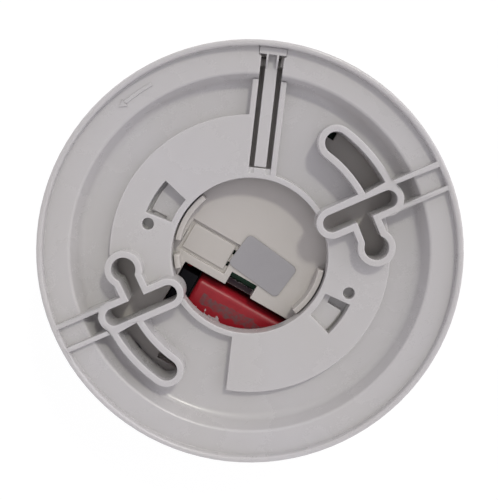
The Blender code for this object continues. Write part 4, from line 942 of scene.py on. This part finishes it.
class ALARM_OT_sounder(bpy.types.Operator):
    """Finish the sounder's housing, disc, ceramic and contacts"""

    bl_idname = "alarm.sounder"
    bl_label = "Sounder"

    def execute(self, context):
        dress("horn_housing", rounded("horn_housing", sizes().small_round))
        for node in frame["nodes"]:
            if node.startswith("piezo_"):
                repaint(node)
        return {"FINISHED"}


class ALARM_OT_stage(bpy.types.Operator):
    """Set the camera, the light and the white floor"""

    bl_idname = "alarm.stage"
    bl_label = "Stage"

    def execute(self, context):
        scene = context.scene
        view = stage()
        place_camera(scene)
        main_lamp = place_lamp(scene, "main_lamp", view.lamp_direction, view.lamp_height)
        main_lamp.angle = view.lamp_width
        main_lamp.energy = view.lamp_level
        main_lamp.color = view.lamp_colour
        side_lamp = place_lamp(scene, "side_lamp", view.low_direction, view.low_height)
        side_lamp.angle = view.low_width
        side_lamp.energy = view.low_level
        side_lamp.color = view.sky_colour
        light_sky(scene)
        lay_floor(scene)
        scene.view_settings.view_transform = "Standard"
        return {"FINISHED"}


def place_camera(scene):
    """A camera at the photograph's viewing angle."""
    lens = bpy.data.cameras.new("view_camera")
    lens.sensor_fit = "HORIZONTAL"
    lens.lens = stage().camera_lens
    lens.clip_start = NEAREST_SEEN
    camera = bpy.data.objects.new("view_camera", lens)
    camera.location = stage().camera_place
    camera.rotation_euler = stage().camera_turn
    scene.collection.objects.link(camera)
    scene.camera = camera


def place_lamp(scene, name, direction, height):
    """A far light that shines on the alarm from a direction and a height."""
    light = bpy.data.lights.new(name, "SUN")
    lamp = bpy.data.objects.new(name, light)
    tilt = Matrix.Rotation(math.pi / 2 - height, 3, "Y")
    lamp.rotation_euler = (Matrix.Rotation(direction, 3, "Z") @ tilt).to_euler()
    scene.collection.objects.link(lamp)
    return light


def seen_share(paint):
    """1 for rays from the camera, off a shine or through glass, and 0 for other rays."""
    seen = paint.node("ShaderNodeLightPath", output="Is Camera Ray")
    for kind in ("Is Glossy Ray", "Is Transmission Ray"):
        seen = seen.larger(paint.node("ShaderNodeLightPath", output=kind))
    return seen


def light_sky(scene):
    """Light from all round, brightest from the sides, which looks plain white itself."""
    view = stage()
    world = bpy.data.worlds.new("soft_sky")
    world.use_nodes = True
    scene.world = world
    sky = Finish(world.node_tree)
    up = sky.split(sky.node("ShaderNodeTexCoord", output="Generated"), "Z")
    level = view.sky_level + (view.side_level - view.sky_level) * (1.0 - up * up)
    lit = sky.node("ShaderNodeBackground", None, {"Color": view.sky_colour, "Strength": level})
    white = sky.node("ShaderNodeBackground", None, {"Color": WHITE, "Strength": 1.0})
    both = sky.node("ShaderNodeMixShader", None, {0: seen_share(sky), 1: lit, 2: white})
    sky.join(both, world.node_tree.nodes["World Output"].inputs["Surface"])


def lay_floor(scene):
    """A white floor under the alarm that keeps a faint shadow."""
    shape = bmesh.new()
    bmesh.ops.create_grid(shape, x_segments=1, y_segments=1, size=stage().floor_size / 2)
    bmesh.ops.translate(shape, verts=shape.verts, vec=(0.0, 0.0, CAD_LOWEST))
    mesh = bpy.data.meshes.new("floor")
    shape.to_mesh(mesh)
    shape.free()
    material = bpy.data.materials.new("floor_white")
    material.use_nodes = True
    paint = Finish(material.node_tree)
    paper = paint.node("ShaderNodeBsdfDiffuse", None, {"Color": FLOOR_GREY})
    glow = paint.node("ShaderNodeEmission", None, {"Color": WHITE, "Strength": FLOOR_GLOW})
    share = seen_share(paint) * stage().floor_white
    both = paint.node("ShaderNodeMixShader", None, {0: share, 1: paper, 2: glow})
    paint.join(both, material.node_tree.nodes["Material Output"].inputs["Surface"])
    mesh.materials.append(material)
    floor = bpy.data.objects.new("floor", mesh)
    scene.collection.objects.link(floor)


class ALARM_PT_panel(bpy.types.Panel):
    """Buttons for every piece, and the settings under them"""

    bl_idname = "ALARM_PT_panel"
    bl_label = "Smoke alarm"
    bl_space_type = "VIEW_3D"
    bl_region_type = "UI"
    bl_category = "Smoke alarm"

    def draw(self, context):
        for operator in OPERATORS:
            self.layout.operator(operator.bl_idname)
        scene = context.scene
        for group in (scene.alarm_sizes, scene.alarm_colours, scene.alarm_stage):
            box = self.layout.box()
            for key in group.__annotations__:
                box.prop(group, key)


OPERATORS = (
    ALARM_OT_stage,
    ALARM_OT_bracket,
    ALARM_OT_arrow,
    ALARM_OT_tongue,
    ALARM_OT_case,
    ALARM_OT_strip,
    ALARM_OT_button,
    ALARM_OT_battery,
    ALARM_OT_label,
    ALARM_OT_board,
    ALARM_OT_screws,
    ALARM_OT_chamber,
    ALARM_OT_sounder,
)
CLASSES = (AlarmSizes, AlarmColours, AlarmStage) + OPERATORS + (ALARM_PT_panel,)


def register():
    """Add the classes and the scene's settings to Blender."""
    for item in CLASSES:
        bpy.utils.register_class(item)
    bpy.types.Scene.alarm_sizes = PointerProperty(type=AlarmSizes)
    bpy.types.Scene.alarm_colours = PointerProperty(type=AlarmColours)
    bpy.types.Scene.alarm_stage = PointerProperty(type=AlarmStage)


def unregister():
    """Take the classes and the scene's settings away again."""
    del bpy.types.Scene.alarm_stage
    del bpy.types.Scene.alarm_colours
    del bpy.types.Scene.alarm_sizes
    for item in reversed(CLASSES):
        bpy.utils.unregister_class(item)


def main():
    """Register, then set the stage and dress every piece in order."""
    register()
    bpy.ops.alarm.stage()
    bpy.ops.alarm.bracket()
    bpy.ops.alarm.arrow()
    bpy.ops.alarm.tongue()
    bpy.ops.alarm.case()
    bpy.ops.alarm.strip()
    bpy.ops.alarm.button()
    bpy.ops.alarm.battery()
    bpy.ops.alarm.label()
    bpy.ops.alarm.board()
    bpy.ops.alarm.screws()
    bpy.ops.alarm.chamber()
    bpy.ops.alarm.sounder()


if __name__ == "__main__":
    main()
